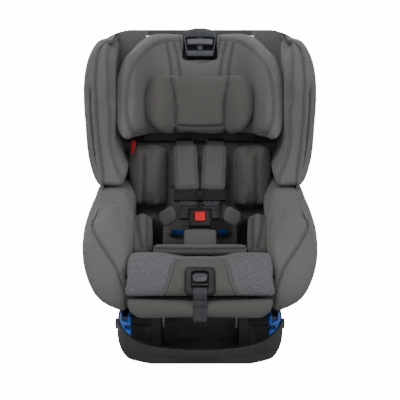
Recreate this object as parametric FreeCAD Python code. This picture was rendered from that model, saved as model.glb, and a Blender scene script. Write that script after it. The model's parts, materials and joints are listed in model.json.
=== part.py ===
"""Convertible child car seat: a base, a bucket that reclines on it, a height-adjustable headrest,
a leg rest, a five-point harness and a removable body insert.
Millimetres. +Z up, X to the right seen from the front, and the seat faces -Y.
The origin is the middle of the base's footprint, on the surface that the base rests on."""
import FreeCAD, Part
import math
import os
from FreeCAD import Placement, Rotation, Vector

# ---------------------------------------------------------------- driving sizes
wing_half_width = 241.5       # widest point of the upper side wings
arm_half_width = 239.0        # widest point of the arms beside the hips
waist_half_width = 214.0      # between wings and arms
tip_half_width = 146.0        # lower front tips of the arms
top_z = 660.0                 # top edge of the back
wing_z = 550.0                # height of the widest point of the wings
waist_z = 322.0
arm_z = 250.0
tip_z = 104.0

back_angle = 12.3             # lean of the back from the vertical, degrees
seat_angle = 16.0             # rise of the seat towards its front, degrees
bight_y = 85.0                # where back and seat surfaces meet
bight_z = 160.0
back_depth = 52.0             # back surface to the rearmost outer surface

pivot_y = 0.0                 # centre of the recline arc
pivot_z = 420.0
recline_radius = 350.0        # outer radius of the bucket's rounded bottom

skin = 7.0                    # cover and foam outside the moulded shell
shell_wall = 4.0
gap = 0.6                     # between parts that lie beside each other

headrest_half = 178.0         # half width of the headrest
wing_inner = 187.0            # half width between the padded wings
arm_inner = 146.0             # half width between the padded arms, beside the hips
thigh_inner = 152.0           # and beside the thighs
wing_seam_z = 342.0           # seam between wing and arm covers
cover_depth = -18.0           # covers end this far behind the back surface on the outside
cushion_thick = 22.0          # back cushion
cushion_top = 258.0           # along the back
pan_drop = 30.0               # seat surface down to the pan's top
pan_thick = 4.0
pan_front_y = -181.0
nose_y = -217.0               # foremost line of the seat cushion
nose_z = 150.0                # lower edge of the seat cushion's front

base_half_width = 176.0
base_front_y = -200.0
base_rear_y = 200.0
base_wall = 4.0
base_floor = 4.0
tray_height = 17.0            # lower moulding of the base
lip_z = 38.0                  # top of the base's front lip
shoulder_z = 66.0             # top of the base beside the seat's front
screw_radius = 2.5
screw_clear = 0.3
pad_radius = 16.0             # non-slip pads under the base
pad_thick = 3.0

track_x = 92.0                # runners and tracks, either side of the middle
runner_width = 12.0
runner_depth = 13.0
runner_play = 0.5             # between a runner and its track
cheek = 3.5                   # side walls of a track
pin_radius = 4.0
pin_play = 0.06
pin_y = -60.0
pin_bite = 7.0                # depth of the pin's holes in a runner
button_proud = 5.0            # recline buttons outside the base's widest point

headrest_bottom = 266.0       # along the back
headrest_top = 492.0
headrest_travel = 160.0
headrest_face = -37.0         # depth of its middle panel's front
rim_depth = -140.0            # depth of its foremost rim
plate_depth = 8.6             # front of the hard plate behind it
plate_thick = 4.0
tube_radius = 6.0             # guide tubes behind the headrest
tube_play = 0.06
tube_x = 112.0
tube_depth = 23.0
sleeve_wall = 6.0
sleeve_h = 275.0
sleeve_length = 45.0
handle_half = 38.0

webbing = 1.6                 # thickness of harness webbing
webbing_width = 38.0
narrow_webbing = 28.0         # the strap that tightens the harness
harness_x = 34.0              # middle of each shoulder strap
harness_y = 100.0             # where the shoulder straps leave the headrest
harness_z = 419.0
harness_lean = 48.5           # slope of the shoulder straps from the vertical, degrees
pad_length = 122.0            # shoulder pads
pad_width = 53.0
clip_top = 135.0              # chest clip, along the straps
clip_height = 27.0
clip_half = 56.0
buckle_y = -52.0              # top of the buckle
buckle_z = 298.0
buckle_lean = 38.0
buckle_half = 23.0
buckle_length = 40.0

belt_slot_front = (-150.0, -92.0, 118.0, 136.0)    # y0, y1, z0, z1 of the rear-facing belt slot
belt_slot_rear = (40.0, 92.0, 210.0, 262.0)        # y0, y1, z0, z1 of the forward-facing belt slot
harness_slot = (14.0, 54.0, 262.0, 440.0)          # x0, x1, h0, h1 of each strap slot in the back
leg_rail = (96.0, 110.0, 138.0, 146.0)             # x0, x1, z0, z1 of each leg rest rail

surround_half = 30.5             # half width of the plate round the harness tightener
surround_tall = 29.0
surround_thick = 13.0
surround_proud = 5.0           # the plate's face in front of the cushion
nose_lean = 26.0              # slope of the cushion's front, degrees
surround_centre = (0.0, nose_y + 3, nose_z + 38)
adjuster_face = -4.0          # depth of the tightener's button, and its thickness
adjuster_thick = 5.0
adjuster_travel = 3.0

lap_points = [(46.0, -42.0, 296.0), (90.0, -8.0, 262.0), (97.0, 44.0, 186.0)]
lap_across = [(-0.25, -0.60, -0.76), (-0.72, -0.45, -0.53), (-0.98, -0.10, -0.15)]
crotch_lean = 29.0            # slope of the strap between the legs, degrees
crotch_top = (0.0, -75.5, 268.0)
crotch_foot_y = -102.5        # where the strap between the legs goes through the pan
button_z = 52.0               # height of the recline buttons
button_radius = 11.0
stem_radius = 4.0

back_rise = math.tan(math.radians(back_angle))
seat_rise = math.tan(math.radians(seat_angle))
cos_back = math.cos(math.radians(back_angle))
cos_seat = math.cos(math.radians(seat_angle))
BIG = 400.0                   # longer than anything it cuts


# ---------------------------------------------------------------- shape helpers
def mirrored(half):
    """A loop from its right half, listed from the bottom to the top."""
    return half + [(-x, z, corner) for x, z, corner in reversed(half)]


def inset_loop(points, distance):
    """The same loop drawn in by a distance. Points run anticlockwise; a corner is mitred."""
    moved = []
    count = len(points)
    for i, (a, b, corner) in enumerate(points):
        pa, pb, _ = points[i - 1]
        na, nb, _ = points[(i + 1) % count]
        before = Vector(a - pa, b - pb, 0).normalize()
        after = Vector(na - a, nb - b, 0).normalize()
        mean = before.add(after).normalize()
        normal = Vector(-mean.y, mean.x, 0)
        stretch = 1.0 / max(0.3, normal.dot(Vector(-before.y, before.x, 0)))
        moved.append((a + normal.x * distance * stretch, b + normal.y * distance * stretch, corner))
    return moved


def loop_wire(points, place):
    """A closed wire through points (a, b, is_corner): straight between two corners, a curve otherwise."""
    corners = [i for i, p in enumerate(points) if p[2]]
    edges = []
    for start, end in zip(corners, corners[1:] + [corners[0] + len(points)]):
        run = [place(*points[i % len(points)][:2]) for i in range(start, end + 1)]
        if len(run) == 2:
            edges.append(Part.LineSegment(run[0], run[1]).toShape())
        else:
            curve = Part.BSplineCurve()
            curve.interpolate(run)
            edges.append(curve.toShape())
    return Part.Wire(edges)


def prism_xz(points, y0, y1):
    """A front-view outline, given depth from y0 to y1."""
    wire = loop_wire(points, lambda a, b: Vector(a, y0, b))
    return Part.Face(wire).extrude(Vector(0, y1 - y0, 0))


def prism_yz(points, x0, x1):
    """A side-view outline, given width from x0 to x1."""
    wire = loop_wire(points, lambda a, b: Vector(x0, a, b))
    return Part.Face(wire).extrude(Vector(x1 - x0, 0, 0))


def polygon(points):
    return [(a, b, True) for a, b in points]


def block(x0, x1, y0, y1, z0, z1, radius=0.0):
    """A box between two corners, with all its edges rounded if a radius is given."""
    box = Part.makeBox(x1 - x0, y1 - y0, z1 - z0, Vector(x0, y0, z0))
    return box.makeFillet(radius, box.Edges) if radius else box


def rod(radius, start, end):
    axis = Vector(*end).sub(Vector(*start))
    return Part.makeCylinder(radius, axis.Length, Vector(*start), axis)


def placed(shape, origin, lean):
    """A shape drawn upright at the origin, leaned back about X by an angle and moved."""
    copy = shape.copy()
    copy.Placement = Placement(Vector(*origin), Rotation(Vector(1, 0, 0), -lean)).multiply(copy.Placement)
    return copy


def on_back(shape):
    """From back coordinates: x, depth behind the back surface, height along it."""
    return placed(shape, (0, bight_y, bight_z), back_angle)


def on_seat(shape):
    """From seat coordinates: x, distance behind the bight, height above the seat surface."""
    return placed(shape, (0, bight_y, bight_z), seat_angle)


def mirror_x(shape):
    return shape.mirror(Vector(0, 0, 0), Vector(1, 0, 0))


def both_sides(shape):
    return Part.makeCompound([shape, mirror_x(shape)])


def back_y(z, depth=0.0):
    """Y of the plane that lies a depth behind the back surface, at a height."""
    return bight_y + (z - bight_z) * back_rise + depth / cos_back


def arc_z(radius, y):
    """Height of the recline arc of a radius, at a depth."""
    return pivot_z - math.sqrt(radius ** 2 - (y - pivot_y) ** 2)


def arc_points(radius, y0, y1, count):
    """Points on the recline arc; only the two ends are corners."""
    points = []
    for i in range(count):
        y = y0 + (y1 - y0) * i / (count - 1)
        points.append((y, arc_z(radius, y), i in (0, count - 1)))
    return points


# ---------------------------------------------------------------- envelope of the bucket
def front_outline():
    """Outer outline seen from the front."""
    half = [
        (112.0, 70.0, True),
        (tip_half_width, tip_z, False),
        (tip_half_width + 57, tip_z + 34, False),
        (arm_half_width - 16, arm_z - 76, False),
        (arm_half_width - 4, arm_z - 38, False),
        (arm_half_width, arm_z, False),
        (arm_half_width - 9, arm_z + 37, False),
        (waist_half_width + 2, waist_z - 6, False),
        (waist_half_width, waist_z + 14, False),
        (waist_half_width + 9, waist_z + 46, False),
        (wing_half_width - 6.5, wing_z - 125, False),
        (wing_half_width - 1.5, wing_z - 65, False),
        (wing_half_width, wing_z, False),
        (wing_half_width - 4, wing_z + 45, False),
        (wing_half_width - 18.5, top_z - 26, False),
        (wing_half_width - 52, top_z - 6, False),
        (110.0, top_z, True),
    ]
    return mirrored(half)


def side_outline():
    """Outer outline seen from the side: rounded bottom, leaning back, wing and arm front edge."""
    rear_y = back_y(170.0, back_depth)
    bottom = arc_points(recline_radius, -160.0, rear_y - 21, 7)
    rear = [(rear_y - 5, 125.0, False), (rear_y, 170.0, True)]
    top = [(back_y(top_z, back_depth), top_z, True), (120.0, top_z, True)]
    front = [
        (70.0, top_z - 8, False), (30.0, top_z - 28, False), (8.0, top_z - 60, False),
        (-2.0, wing_z + 10, False), (-5.0, wing_z - 40, False), (-8.0, wing_z - 100, False),
        (-14.0, waist_z + 78, False), (-28.0, waist_z + 36, False), (-52.0, waist_z, False),
        (-85.0, arm_z + 43, False), (-120.0, arm_z + 20, False), (-155.0, arm_z - 7, False),
        (-180.0, arm_z - 38, False), (-193.0, arm_z - 70, False), (-195.0, tip_z + 46, False),
        (-183.0, tip_z + 18, False),
    ]
    return bottom + rear + top + front


def plan_prism(inset):
    """Rounded plan of the back, extruded along its lean."""
    half = wing_half_width - inset
    rear = back_y(0.0, back_depth - inset)
    radius = 90.0 - inset
    right = [
        Part.LineSegment(Vector(half, -BIG, 0), Vector(half, rear - radius, 0)).toShape(),
        Part.makeCircle(radius, Vector(half - radius, rear - radius, 0), Vector(0, 0, 1), 0, 90),
        Part.LineSegment(Vector(half - radius, rear, 0), Vector(radius - half, rear, 0)).toShape(),
        Part.makeCircle(radius, Vector(radius - half, rear - radius, 0), Vector(0, 0, 1), 90, 180),
        Part.LineSegment(Vector(-half, rear - radius, 0), Vector(-half, -BIG, 0)).toShape(),
        Part.LineSegment(Vector(-half, -BIG, 0), Vector(half, -BIG, 0)).toShape(),
    ]
    face = Part.Face(Part.Wire(right))
    height = top_z + 60
    return face.extrude(Vector(0, height * back_rise, height))


def envelope(inset):
    """The bucket's outer form, drawn in by a distance."""
    front = prism_xz(inset_loop(front_outline(), inset), -BIG, BIG)
    side = prism_yz(inset_loop(side_outline(), inset), -BIG, BIG)
    return front.common(side).common(plan_prism(inset))


def inner_edge(extra):
    """Front-view line of the padded sides' inner faces, from the bottom up, moved out by extra."""
    return [
        (arm_inner + 5 + extra, 60.0),
        (arm_inner + 5 + extra, arm_z - 80),
        (arm_inner - 2 + extra, arm_z - 22),
        (arm_inner + extra, arm_z + 60),
        (arm_inner + 12 + extra, arm_z + 110),
        (wing_inner - 6 + extra, arm_z + 160),
        (wing_inner + extra, arm_z + 185),
        (wing_inner + extra, top_z + 60),
    ]


# ---------------------------------------------------------------- bucket


def pan_top_z(y):
    return bight_z + (bight_y - y) * seat_rise - pan_drop / cos_seat


def pan_line(lift):
    """Side-view line of the moulded pan's upper face, raised by lift, from the front back."""
    step_y = pan_front_y + 31
    front = pan_top_z(step_y) - 12 + lift
    rear_y = bight_y + 20
    return [(-BIG, front), (pan_front_y, front), (step_y, pan_top_z(step_y) + lift), (rear_y, pan_top_z(rear_y) + lift)]


def bucket_form(grow):
    """The moulded bucket without its slots, every wall thickened by grow on both faces."""
    outer = envelope(skin - grow)
    inner = envelope(skin + shell_wall + grow)
    upper = pan_line(grow)
    lower = pan_line(-pan_thick - grow)
    pan = prism_yz(polygon(upper + [(BIG, upper[-1][1]), (BIG, lower[-1][1])] + lower[::-1]), -BIG, BIG)
    shell = outer.cut(inner).fuse(pan.common(outer))
    mouth = prism_xz(inset_loop(front_outline(), skin + shell_wall + grow), -BIG, 60.0)
    above = prism_yz(polygon(upper + [(BIG, upper[-1][1]), (BIG, BIG * 2), (-BIG, BIG * 2)]), -BIG, BIG)
    roof = plan_prism(skin + shell_wall + grow).common(block(-wing_inner, wing_inner, -BIG, BIG, wing_z, BIG * 2))
    return shell.cut(mouth.common(above)).cut(roof)


def below_pan():
    """Everything under the pan, where the lower of the bucket's two mouldings is."""
    lower = pan_line(-pan_thick)
    return prism_yz(polygon(lower + [(BIG, lower[-1][1]), (BIG, -BIG), (-BIG, -BIG)]), -BIG, BIG)


def bucket_mouldings():
    """The bucket with its slots, as an upper moulding and a rounded lower one that meet under the pan."""
    shell = bucket_form(0.0)
    for y0, y1, z0, z1 in (belt_slot_front, belt_slot_rear):
        shell = shell.cut(both_sides(block(thigh_inner - 20, BIG, y0, y1, z0, z1, 6.0)))
    x0, x1, h0, h1 = harness_slot
    shell = shell.cut(both_sides(on_back(block(x0, x1, 20, back_depth + 20, h0, h1, 4.0))))
    x0, x1, z0, z1 = leg_rail
    shell = shell.cut(both_sides(block(x0 - 1, x1 + 1, -230, -150, z0 - 1, z1 + 1)))
    half = webbing_width / 2 + 3
    crotch = block(-half, half, crotch_foot_y - 9.5, crotch_foot_y + 10.5, 130, pan_top_z(-200) + 2)
    shell = shell.cut(crotch)
    return shell.cut(below_pan()), shell.common(below_pan())


def inner_prism(extra):
    """The room between the padded sides, seen from the front, widened by extra on each side."""
    right = [
        (thigh_inner + extra, 0.0),
        (thigh_inner + extra, arm_z - 80),
        (arm_inner + extra, arm_z - 18),
        (arm_inner + 1 + extra, arm_z + 60),
        (arm_inner + 14 + extra, arm_z + 110),
        (wing_inner - 6 + extra, arm_z + 160),
        (wing_inner + extra, arm_z + 185),
        (wing_inner + extra, top_z + 60),
    ]
    loop = right + [(-x, z) for x, z in reversed(right)]
    return prism_xz(polygon(loop), -BIG, BIG)


def side_covers():
    """All that is padded on the bucket's sides, as one form, around the moulded shell."""
    behind = [(back_y(0, cover_depth), 0), (back_y(700, cover_depth), 700), (BIG, 700), (BIG, 0)]
    outside = envelope(0).cut(envelope(skin + shell_wall / 2)).common(prism_yz(polygon(behind), -BIG, BIG))
    form = envelope(0).cut(outside).cut(inner_prism(0.0)).cut(bucket_form(gap))
    for y0, y1, z0, z1 in (belt_slot_front, belt_slot_rear):
        form = form.cut(both_sides(block(thigh_inner - 20, BIG, y0 - 2, y1 + 2, z0 - 2, z1 + 2)))
    return form


def largest(shape):
    return max(shape.Solids, key=lambda solid: solid.Volume)


def wing_pad_right(covers):
    return largest(covers.common(block(0, BIG, -BIG, BIG, wing_seam_z + gap / 2, BIG * 2)))


def arm_pad_right(covers):
    return largest(covers.common(block(0, BIG, -BIG, BIG, 96, wing_seam_z - gap / 2)))


def back_cushion():
    """Flat cushion behind the child's back, between the padded sides."""
    slab = on_back(block(-BIG, BIG, 0, cushion_thick, 22, cushion_top))
    return slab.common(inner_prism(-gap))


def seat_cushion():
    """Seat cushion over the pan, turned down over the front."""
    under = pan_line(gap)
    front_y = nose_y + 18
    top_z_at = bight_z + (bight_y + 145) * seat_rise
    outline = [
        (bight_y - 8, pan_top_z(bight_y - 8) + gap, True),
        (bight_y - 8, bight_z + 8 * seat_rise - 1, True),
        (-145.0, top_z_at, True),
        (nose_y + 36, top_z_at - 5, False),
        (nose_y + 21, top_z_at - 20, False),
        (nose_y + 5, top_z_at - 48, False),
        (nose_y, nose_z + 12, False),
        (nose_y, nose_z, True),
        (front_y, nose_z, True),
        (front_y, under[1][1], True),
        (under[1][0], under[1][1], True),
        (under[2][0], under[2][1], True),
    ]
    cushion = prism_yz(outline, -BIG, BIG).common(inner_prism(-gap))
    half = webbing_width / 2 + 2
    slot = block(-half, half, crotch_foot_y - 5.5, crotch_foot_y + 5.5, 0, BIG)
    return cushion.cut(slot).cut(surround_blank(gap))


# ---------------------------------------------------------------- harness tightener


def on_nose(shape):
    """From the tightener's own axes: x, depth behind its face, height up the cushion's front."""
    return placed(shape, surround_centre, nose_lean)


def surround_blank(grow):
    half = surround_half + grow
    tall = surround_tall + grow
    back = surround_thick - surround_proud + grow
    return on_nose(block(-half, half, -surround_proud - grow, back, -tall, tall, 5.0 + grow))


def adjuster_plate():
    """Square surround with a recess for the release button and a slot for the strap."""
    plate = surround_blank(0.0)
    recess = on_nose(block(-18, 18, -20, adjuster_face + adjuster_thick + adjuster_travel + 0.4, -4, 21))
    slot = on_nose(block(-narrow_webbing / 2 - 2, narrow_webbing / 2 + 2, -20, 20, -18, -11))
    return plate.cut(recess).cut(slot)


def adjuster_button():
    return on_nose(block(-15, 15, adjuster_face, adjuster_face + adjuster_thick, -2, 16, 1.5))


def adjuster_strap():
    """The end of the tightening strap, out of its slot and down over the plate."""
    half = narrow_webbing / 2
    path = [(8.0, -14.5), (-7.0, -14.5), (-8.5, -22.0), (-4.5, -40.0)]
    return on_nose(prism_yz(polygon(band(path, webbing)), -half, half))


def adjuster_strap_tail():
    """The pulled end of the tightening strap, hanging over the leg rest."""
    half = narrow_webbing / 2
    hang_y = nose_y - 11.5
    path = [(hang_y, nose_z - 1), (hang_y, tip_z + 3)]
    return prism_yz(polygon(band(path, webbing)), -half, half)


def band(path, thick):
    """A strip of even thickness along a side-view path, as a closed outline."""
    above = []
    below = []
    for i, (a, b) in enumerate(path):
        pa, pb = path[max(0, i - 1)]
        na, nb = path[min(len(path) - 1, i + 1)]
        along = Vector(na - pa, nb - pb, 0).normalize()
        normal = Vector(-along.y, along.x, 0).multiply(thick / 2)
        above.append((a + normal.x, b + normal.y))
        below.append((a - normal.x, b - normal.y))
    return above + below[::-1]


# ---------------------------------------------------------------- removable body insert
def insert_back():
    return on_back(block(-72, 72, -15, -gap, 45, 232, 6.0))


def insert_seat():
    return on_seat(block(-82, 82, -196, -16, gap, 9, 4.0)).cut(block(-25, 25, -BIG, -88, 0, BIG))


def insert_side_right():
    """Bolster beside the ribs."""
    section = [
        (79.0, -gap, True), (79.0, -44.0, False), (92.0, -60.0, False), (114.0, -54.0, False),
        (136.0, -64.0, False), (150.0, -48.0, False), (150.0, -gap, True),
    ]
    wire = loop_wire(section, lambda a, b: Vector(a, b, 118))
    pad = on_back(Part.Face(wire).extrude(Vector(0, 0, 128)))
    return pad.common(inner_prism(-gap))


def insert_hip_right():
    """Bolster beside the hip and thigh, lower towards the front."""
    lift = gap / cos_seat + 0.2
    front_y = -118.0
    rear_y = -20.0
    outline = [
        (rear_y, seat_surface_z(rear_y) + lift, True),
        (rear_y, 282.0, True),
        (-38.0, 290.0, False),
        (-66.0, 281.0, False),
        (-98.0, 254.0, False),
        (front_y, 231.0, True),
        (front_y, seat_surface_z(front_y) + lift, True),
    ]
    return prism_yz(outline, 102, 160).common(inner_prism(-gap))


def insert_front_roll():
    """Double roll under the thighs, at the front of the insert."""
    roll = block(-99, 99, -230, -205, gap, 22, 7.0)
    return on_seat(roll).cut(block(-BIG, BIG, -BIG, nose_y + 70, 0, BIG))


def seat_surface_z(y):
    return bight_z + (bight_y - y) * seat_rise


# ---------------------------------------------------------------- headrest
def headrest_curve(shift):
    """Right-hand plan curve of the headrest's inner face, moved in and forward by shift."""
    points = [(72.0, headrest_face), (98.0, -48.0), (120.0, -74.0), (136.0, -110.0), (150.0, rim_depth)]
    return [(x - shift, d - shift) for x, d in points]


def headrest_pad():
    """Winged pad: a flat middle and two deep wings, with a notch at the top for the handle."""
    right = [(x, d, i in (0, 4)) for i, (x, d) in enumerate(headrest_curve(0.0))]
    right += [
        (164.0, rim_depth - 4, False), (headrest_half - 3, rim_depth + 16, False),
        (headrest_half, -70.0, False), (headrest_half - 5, -20.0, False),
        (150.0, plate_depth - 4, False), (128.0, plate_depth - gap, True),
    ]
    loop = right + [(-x, d, corner) for x, d, corner in reversed(right)]
    section = Part.Face(loop_wire(loop, lambda a, b: Vector(a, b, headrest_bottom - 25)))
    form = section.extrude(Vector(0, 0, 280))
    low = bight_z + headrest_bottom * cos_back + 12
    half = [
        (66.0, low + 3, True), (124.0, low, True), (150.0, low + 5, False), (167.0, low + 17, False),
        (headrest_half - 3, low + 42, False), (headrest_half, low + 82, False),
        (headrest_half - 2, top_z - 112, False), (headrest_half - 11, top_z - 78, False),
        (153.0, top_z - 46, False), (132.0, top_z - 24, False), (110.0, top_z - 13, False),
        (86.0, top_z - 10, True),
    ]
    notch = block(-handle_half - 2, handle_half + 2, -BIG, BIG, 442, BIG * 2)
    return on_back(form.cut(notch)).common(prism_xz(mirrored(half), -BIG, BIG))


def headrest_frame():
    """Hard plate behind the pad, with a sleeve on each guide tube and two strap slots."""
    plate = block(-126, 126, plate_depth, plate_depth + plate_thick, headrest_bottom - 4, headrest_top - 6)
    sleeve_half = tube_radius + sleeve_wall
    for side in (-1, 1):
        x = side * tube_x
        sleeve = block(x - sleeve_half, x + sleeve_half, plate_depth, tube_depth + sleeve_half,
                       sleeve_h, sleeve_h + sleeve_length)
        plate = plate.fuse(sleeve)
    for side in (-1, 1):
        x = side * tube_x
        plate = plate.cut(rod(tube_radius + tube_play, (x, tube_depth, 0), (x, tube_depth, BIG * 2)))
    plate = plate.cut(block(-7, 7, 0, 30, 466, BIG * 2))
    return on_back(plate.removeSplitter())


def headrest_guide_tubes():
    """Two tubes fixed to the shell, on which the headrest slides."""
    wall = back_depth - skin - shell_wall - 0.1
    shapes = []
    for side in (-1, 1):
        x = side * tube_x
        low = headrest_bottom - 4
        high = sleeve_h + sleeve_length + headrest_travel + 8
        tube = rod(tube_radius, (x, tube_depth, low), (x, tube_depth, high + 10))
        for h in (low, high):
            tube = tube.fuse(block(x - 9, x + 9, tube_depth - 8, wall, h, h + 10))
        shapes.append(on_back(tube.removeSplitter()))
    return Part.makeCompound(shapes)


def headrest_rack():
    """Notched strip on the shell that holds the headrest's height."""
    wall = back_depth - skin - shell_wall - 0.1
    rack = block(-10, 10, wall - 9, wall, 280, 480)
    for i in range(9):
        h = 290 + i * 20.0
        rack = rack.cut(block(-12, 12, wall - 12, wall - 5, h, h + 8))
    return on_back(rack)


def headrest_handle():
    """Grip across the top of the headrest, with the housing below its trigger."""
    outer = [
        (handle_half, 446.0, True), (handle_half, 498.0, True), (24.0, 503.0, False), (0.0, 505.0, False),
        (-24.0, 503.0, False), (-handle_half, 498.0, True), (-handle_half, 446.0, True),
    ]
    body = prism_xz(outer, -36, plate_depth - 0.2)
    window = block(-34, 34, -BIG, plate_depth - 6, 458, 486)
    pocket = block(-34, 34, -33, -10, 480, 496)
    neck = block(-7, 7, -10, 30, 458, 492)
    return on_back(body.cut(window).cut(pocket).cut(neck))


def headrest_trigger():
    """Bar under the grip; squeezing it towards the grip frees the headrest."""
    bar = block(-32, 32, -32, -12, 471, 484, 3.0)
    neck = block(-5, 5, -16, 14, 474, 480)
    return on_back(bar.fuse(neck).removeSplitter())


def headrest_lock_bar():
    """Link down the back of the plate to the cross bar that engages the rack."""
    link = block(-5, 5, 14.1, 17, 300, 480)
    cross = block(-14, 14, 14.1, 30.5, 300, 306)
    return on_back(link.fuse(cross).removeSplitter())


def head_pillow():
    """Removable pillow for a small child: two lobes and a middle pad."""
    rear = headrest_curve(0.8)[:3]
    right = [(rear[0][0], rear[0][1], True), (rear[1][0], rear[1][1], False), (114.0, -68.0, True)]
    right += [(113.0, -92.0, False), (96.0, -104.0, False), (72.0, -94.0, False), (52.0, -80.0, True)]
    loop = right + [(-x, d, corner) for x, d, corner in reversed(right)]
    form = Part.Face(loop_wire(loop, lambda a, b: Vector(a, b, 250))).extrude(Vector(0, 0, 170))
    low = headrest_bottom + 8
    half = [
        (60.0, low, True), (84.0, low + 6, False), (106.0, low + 30, False), (114.0, low + 62, False),
        (108.0, low + 98, False), (86.0, low + 122, False), (64.0, low + 126, True),
    ]
    return on_back(form.common(prism_xz(mirrored(half), -BIG, BIG)))


# ---------------------------------------------------------------- harness
def on_harness(shape, side):
    """From strap coordinates: x from the strap's middle, depth, and height along the strap."""
    turned = shape.copy()
    turned.Placement = Placement(Vector(0, 0, 0), Rotation(Vector(0, 1, 0), side * 3.0)).multiply(turned.Placement)
    turned.translate(Vector(side * harness_x, 0, 0))
    return placed(turned, (0, harness_y, harness_z), harness_lean)


def shoulder_strap(side):
    """Webbing from the headrest plate, over the cushion's top and down inside the shoulder pad."""
    half = webbing_width / 2
    slant = on_harness(block(-half, half, -webbing / 2, webbing / 2, -pad_length - 10, 2), side)
    start = (harness_y + 1.0, harness_z + 1.0)
    end_y = bight_y + (plate_depth - 0.1) * cos_back + (headrest_bottom - 1) * math.sin(math.radians(back_angle))
    end_z = bight_z - (plate_depth - 0.1) * math.sin(math.radians(back_angle)) + (headrest_bottom - 1) * cos_back
    path = [start, (end_y - 22, end_z + 3), (end_y, end_z)]
    x = side * harness_x
    level = prism_yz(polygon(band(path, webbing)), x - half, x + half)
    return slant.fuse(level).removeSplitter()


def shoulder_pad(side):
    """Padded sleeve round the shoulder strap."""
    half = pad_width / 2
    pad = block(-half, half, -7, 6, -pad_length - 10, -10, 4.0)
    inner = webbing_width / 2 + 0.5
    pad = pad.cut(block(-inner, inner, -webbing / 2 - 0.3, webbing / 2 + 0.3, -BIG, BIG))
    return on_harness(pad, side)


def lower_strap(side):
    """Webbing from the shoulder pad through the chest clip towards the buckle tongue."""
    half = webbing_width / 2
    low = clip_top + clip_height + 6
    slant = on_harness(block(-half, half, -webbing / 2, webbing / 2, -low, -pad_length - 11), side)
    bottom = placed(block(-half + 4, half - 4, -webbing / 2, webbing / 2, 11.5, 15), (0, buckle_y, buckle_z), buckle_lean)
    lean = math.radians(harness_lean)
    start = (harness_y - low * math.sin(lean), harness_z - low * math.cos(lean))
    tilt = math.radians(buckle_lean)
    end = (buckle_y + 12 * math.sin(tilt), buckle_z + 12 * math.cos(tilt))
    x = side * (harness_x - 7)
    run = prism_yz(polygon(band([(start[0] + 1, start[1] + 1), end], webbing)), x - half + 3, x + half - 3)
    return slant.fuse(run).removeSplitter()


def chest_clip_half(side):
    """One half of the chest clip, a flat guide that the strap runs through."""
    x0, x1 = (0.4, clip_half) if side > 0 else (-clip_half, -0.4)
    half = block(x0, x1, -6, 5, -clip_top - clip_height, -clip_top, 2.5)
    channel = block(-clip_half - 9, clip_half + 9, -webbing / 2 - 0.6, webbing / 2 + 0.6, -BIG, BIG)
    middle = block(-5.5, 5.5, -BIG, BIG, -BIG, BIG)
    half = half.cut(channel.cut(middle))
    button_room = block(-8, 8, -BIG, 0, -clip_top - 22, -clip_top - 5)
    return placed(half.cut(button_room), (0, harness_y, harness_z), harness_lean)


def chest_clip_button():
    return placed(block(-7.5, 7.5, -7.5, -3.2, -clip_top - 21.5, -clip_top - 5.5, 1.2), (0, harness_y, harness_z), harness_lean)


def on_buckle(shape):
    return placed(shape, (0, buckle_y, buckle_z), buckle_lean)


def buckle_housing():
    """Buckle body with a slot for each tongue and a well for the red button."""
    body = block(-buckle_half, buckle_half, -10, 10, -buckle_length, 0, 5.0)
    for side in (-1, 1):
        body = body.cut(block(side * 10.5 - 7, side * 10.5 + 7, -1.6, 1.6, -17, BIG))
    body = body.cut(block(-11.5, 11.5, -BIG, -4, -29, -7))
    return on_buckle(body)


def buckle_button():
    return on_buckle(block(-11, 11, -11.5, -7.5, -28.5, -7.5, 1.5))


def tongue(side):
    """Steel blade in a plastic loop that carries the shoulder and lap straps."""
    centre = side * 10.5
    blade = block(centre - 6.5, centre + 6.5, -1.1, 1.1, -15, 4)
    x0, x1 = sorted((side * 4.0, side * 42.0))
    head = block(x0, x1, -4.5, 4.5, 2, 11)
    x0, x1 = sorted((side * (buckle_half + 1.5), side * 42.0))
    leg = block(x0, x1, -4.5, 4.5, -20, 4)
    return on_buckle(blade.fuse(head).fuse(leg).removeSplitter())




def cross_section(point, across, along, width, thick):
    """Rectangle round a point, wide along across and thin along the third direction."""
    wide = Vector(*across).normalize()
    thin = wide.cross(along).normalize()
    corners = []
    for a, b in ((-1, -1), (1, -1), (1, 1), (-1, 1)):
        shift = Vector(wide).multiply(a * width / 2).add(Vector(thin).multiply(b * thick / 2))
        corners.append(Vector(*point).add(shift))
    return Part.makePolygon(corners + corners[:1])


def lap_run(side, first, last, width, thick):
    """Flat ruled strip between two of the lap strap's points, counted from first to last."""
    points = [(x * side, y, z) for x, y, z in lap_points]
    wires = []
    for i in range(first, last + 1):
        before = Vector(*points[max(0, i - 1)])
        after = Vector(*points[min(len(points) - 1, i + 1)])
        x, y, z = lap_across[i]
        wires.append(cross_section(points[i], (x * side, y, z), after.sub(before), width, thick))
    return Part.makeLoft(wires, True, True)


def lap_strap(side):
    """Webbing from the tongue over the thigh to the bight."""
    return lap_run(side, 0, 2, 30, webbing)


def lap_pad(side):
    """Padded sleeve round the lap strap's upper run, open at both ends."""
    sleeve = lap_run(side, 0, 1, 39, 9).cut(lap_run(side, 0, 1, 32, webbing + 1.2))
    middle = Vector(side * 68.0, -25.0, 279.0)
    trim = Part.makeSphere(25.0, middle)
    return largest(sleeve.common(trim))




def crotch_strap():
    """Webbing from the buckle down through the seat cushion and the pan."""
    half = webbing_width / 2
    lean = math.radians(crotch_lean)
    foot_z = crotch_top[2] - (crotch_top[1] - crotch_foot_y) / math.tan(lean)
    start = (crotch_top[1] - 3 * math.tan(lean), crotch_top[2] - 3)
    path = [start, (crotch_foot_y, foot_z), (crotch_foot_y, pan_top_z(crotch_foot_y) - 8)]
    return prism_yz(polygon(band(path, webbing)), -half, half)


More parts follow.
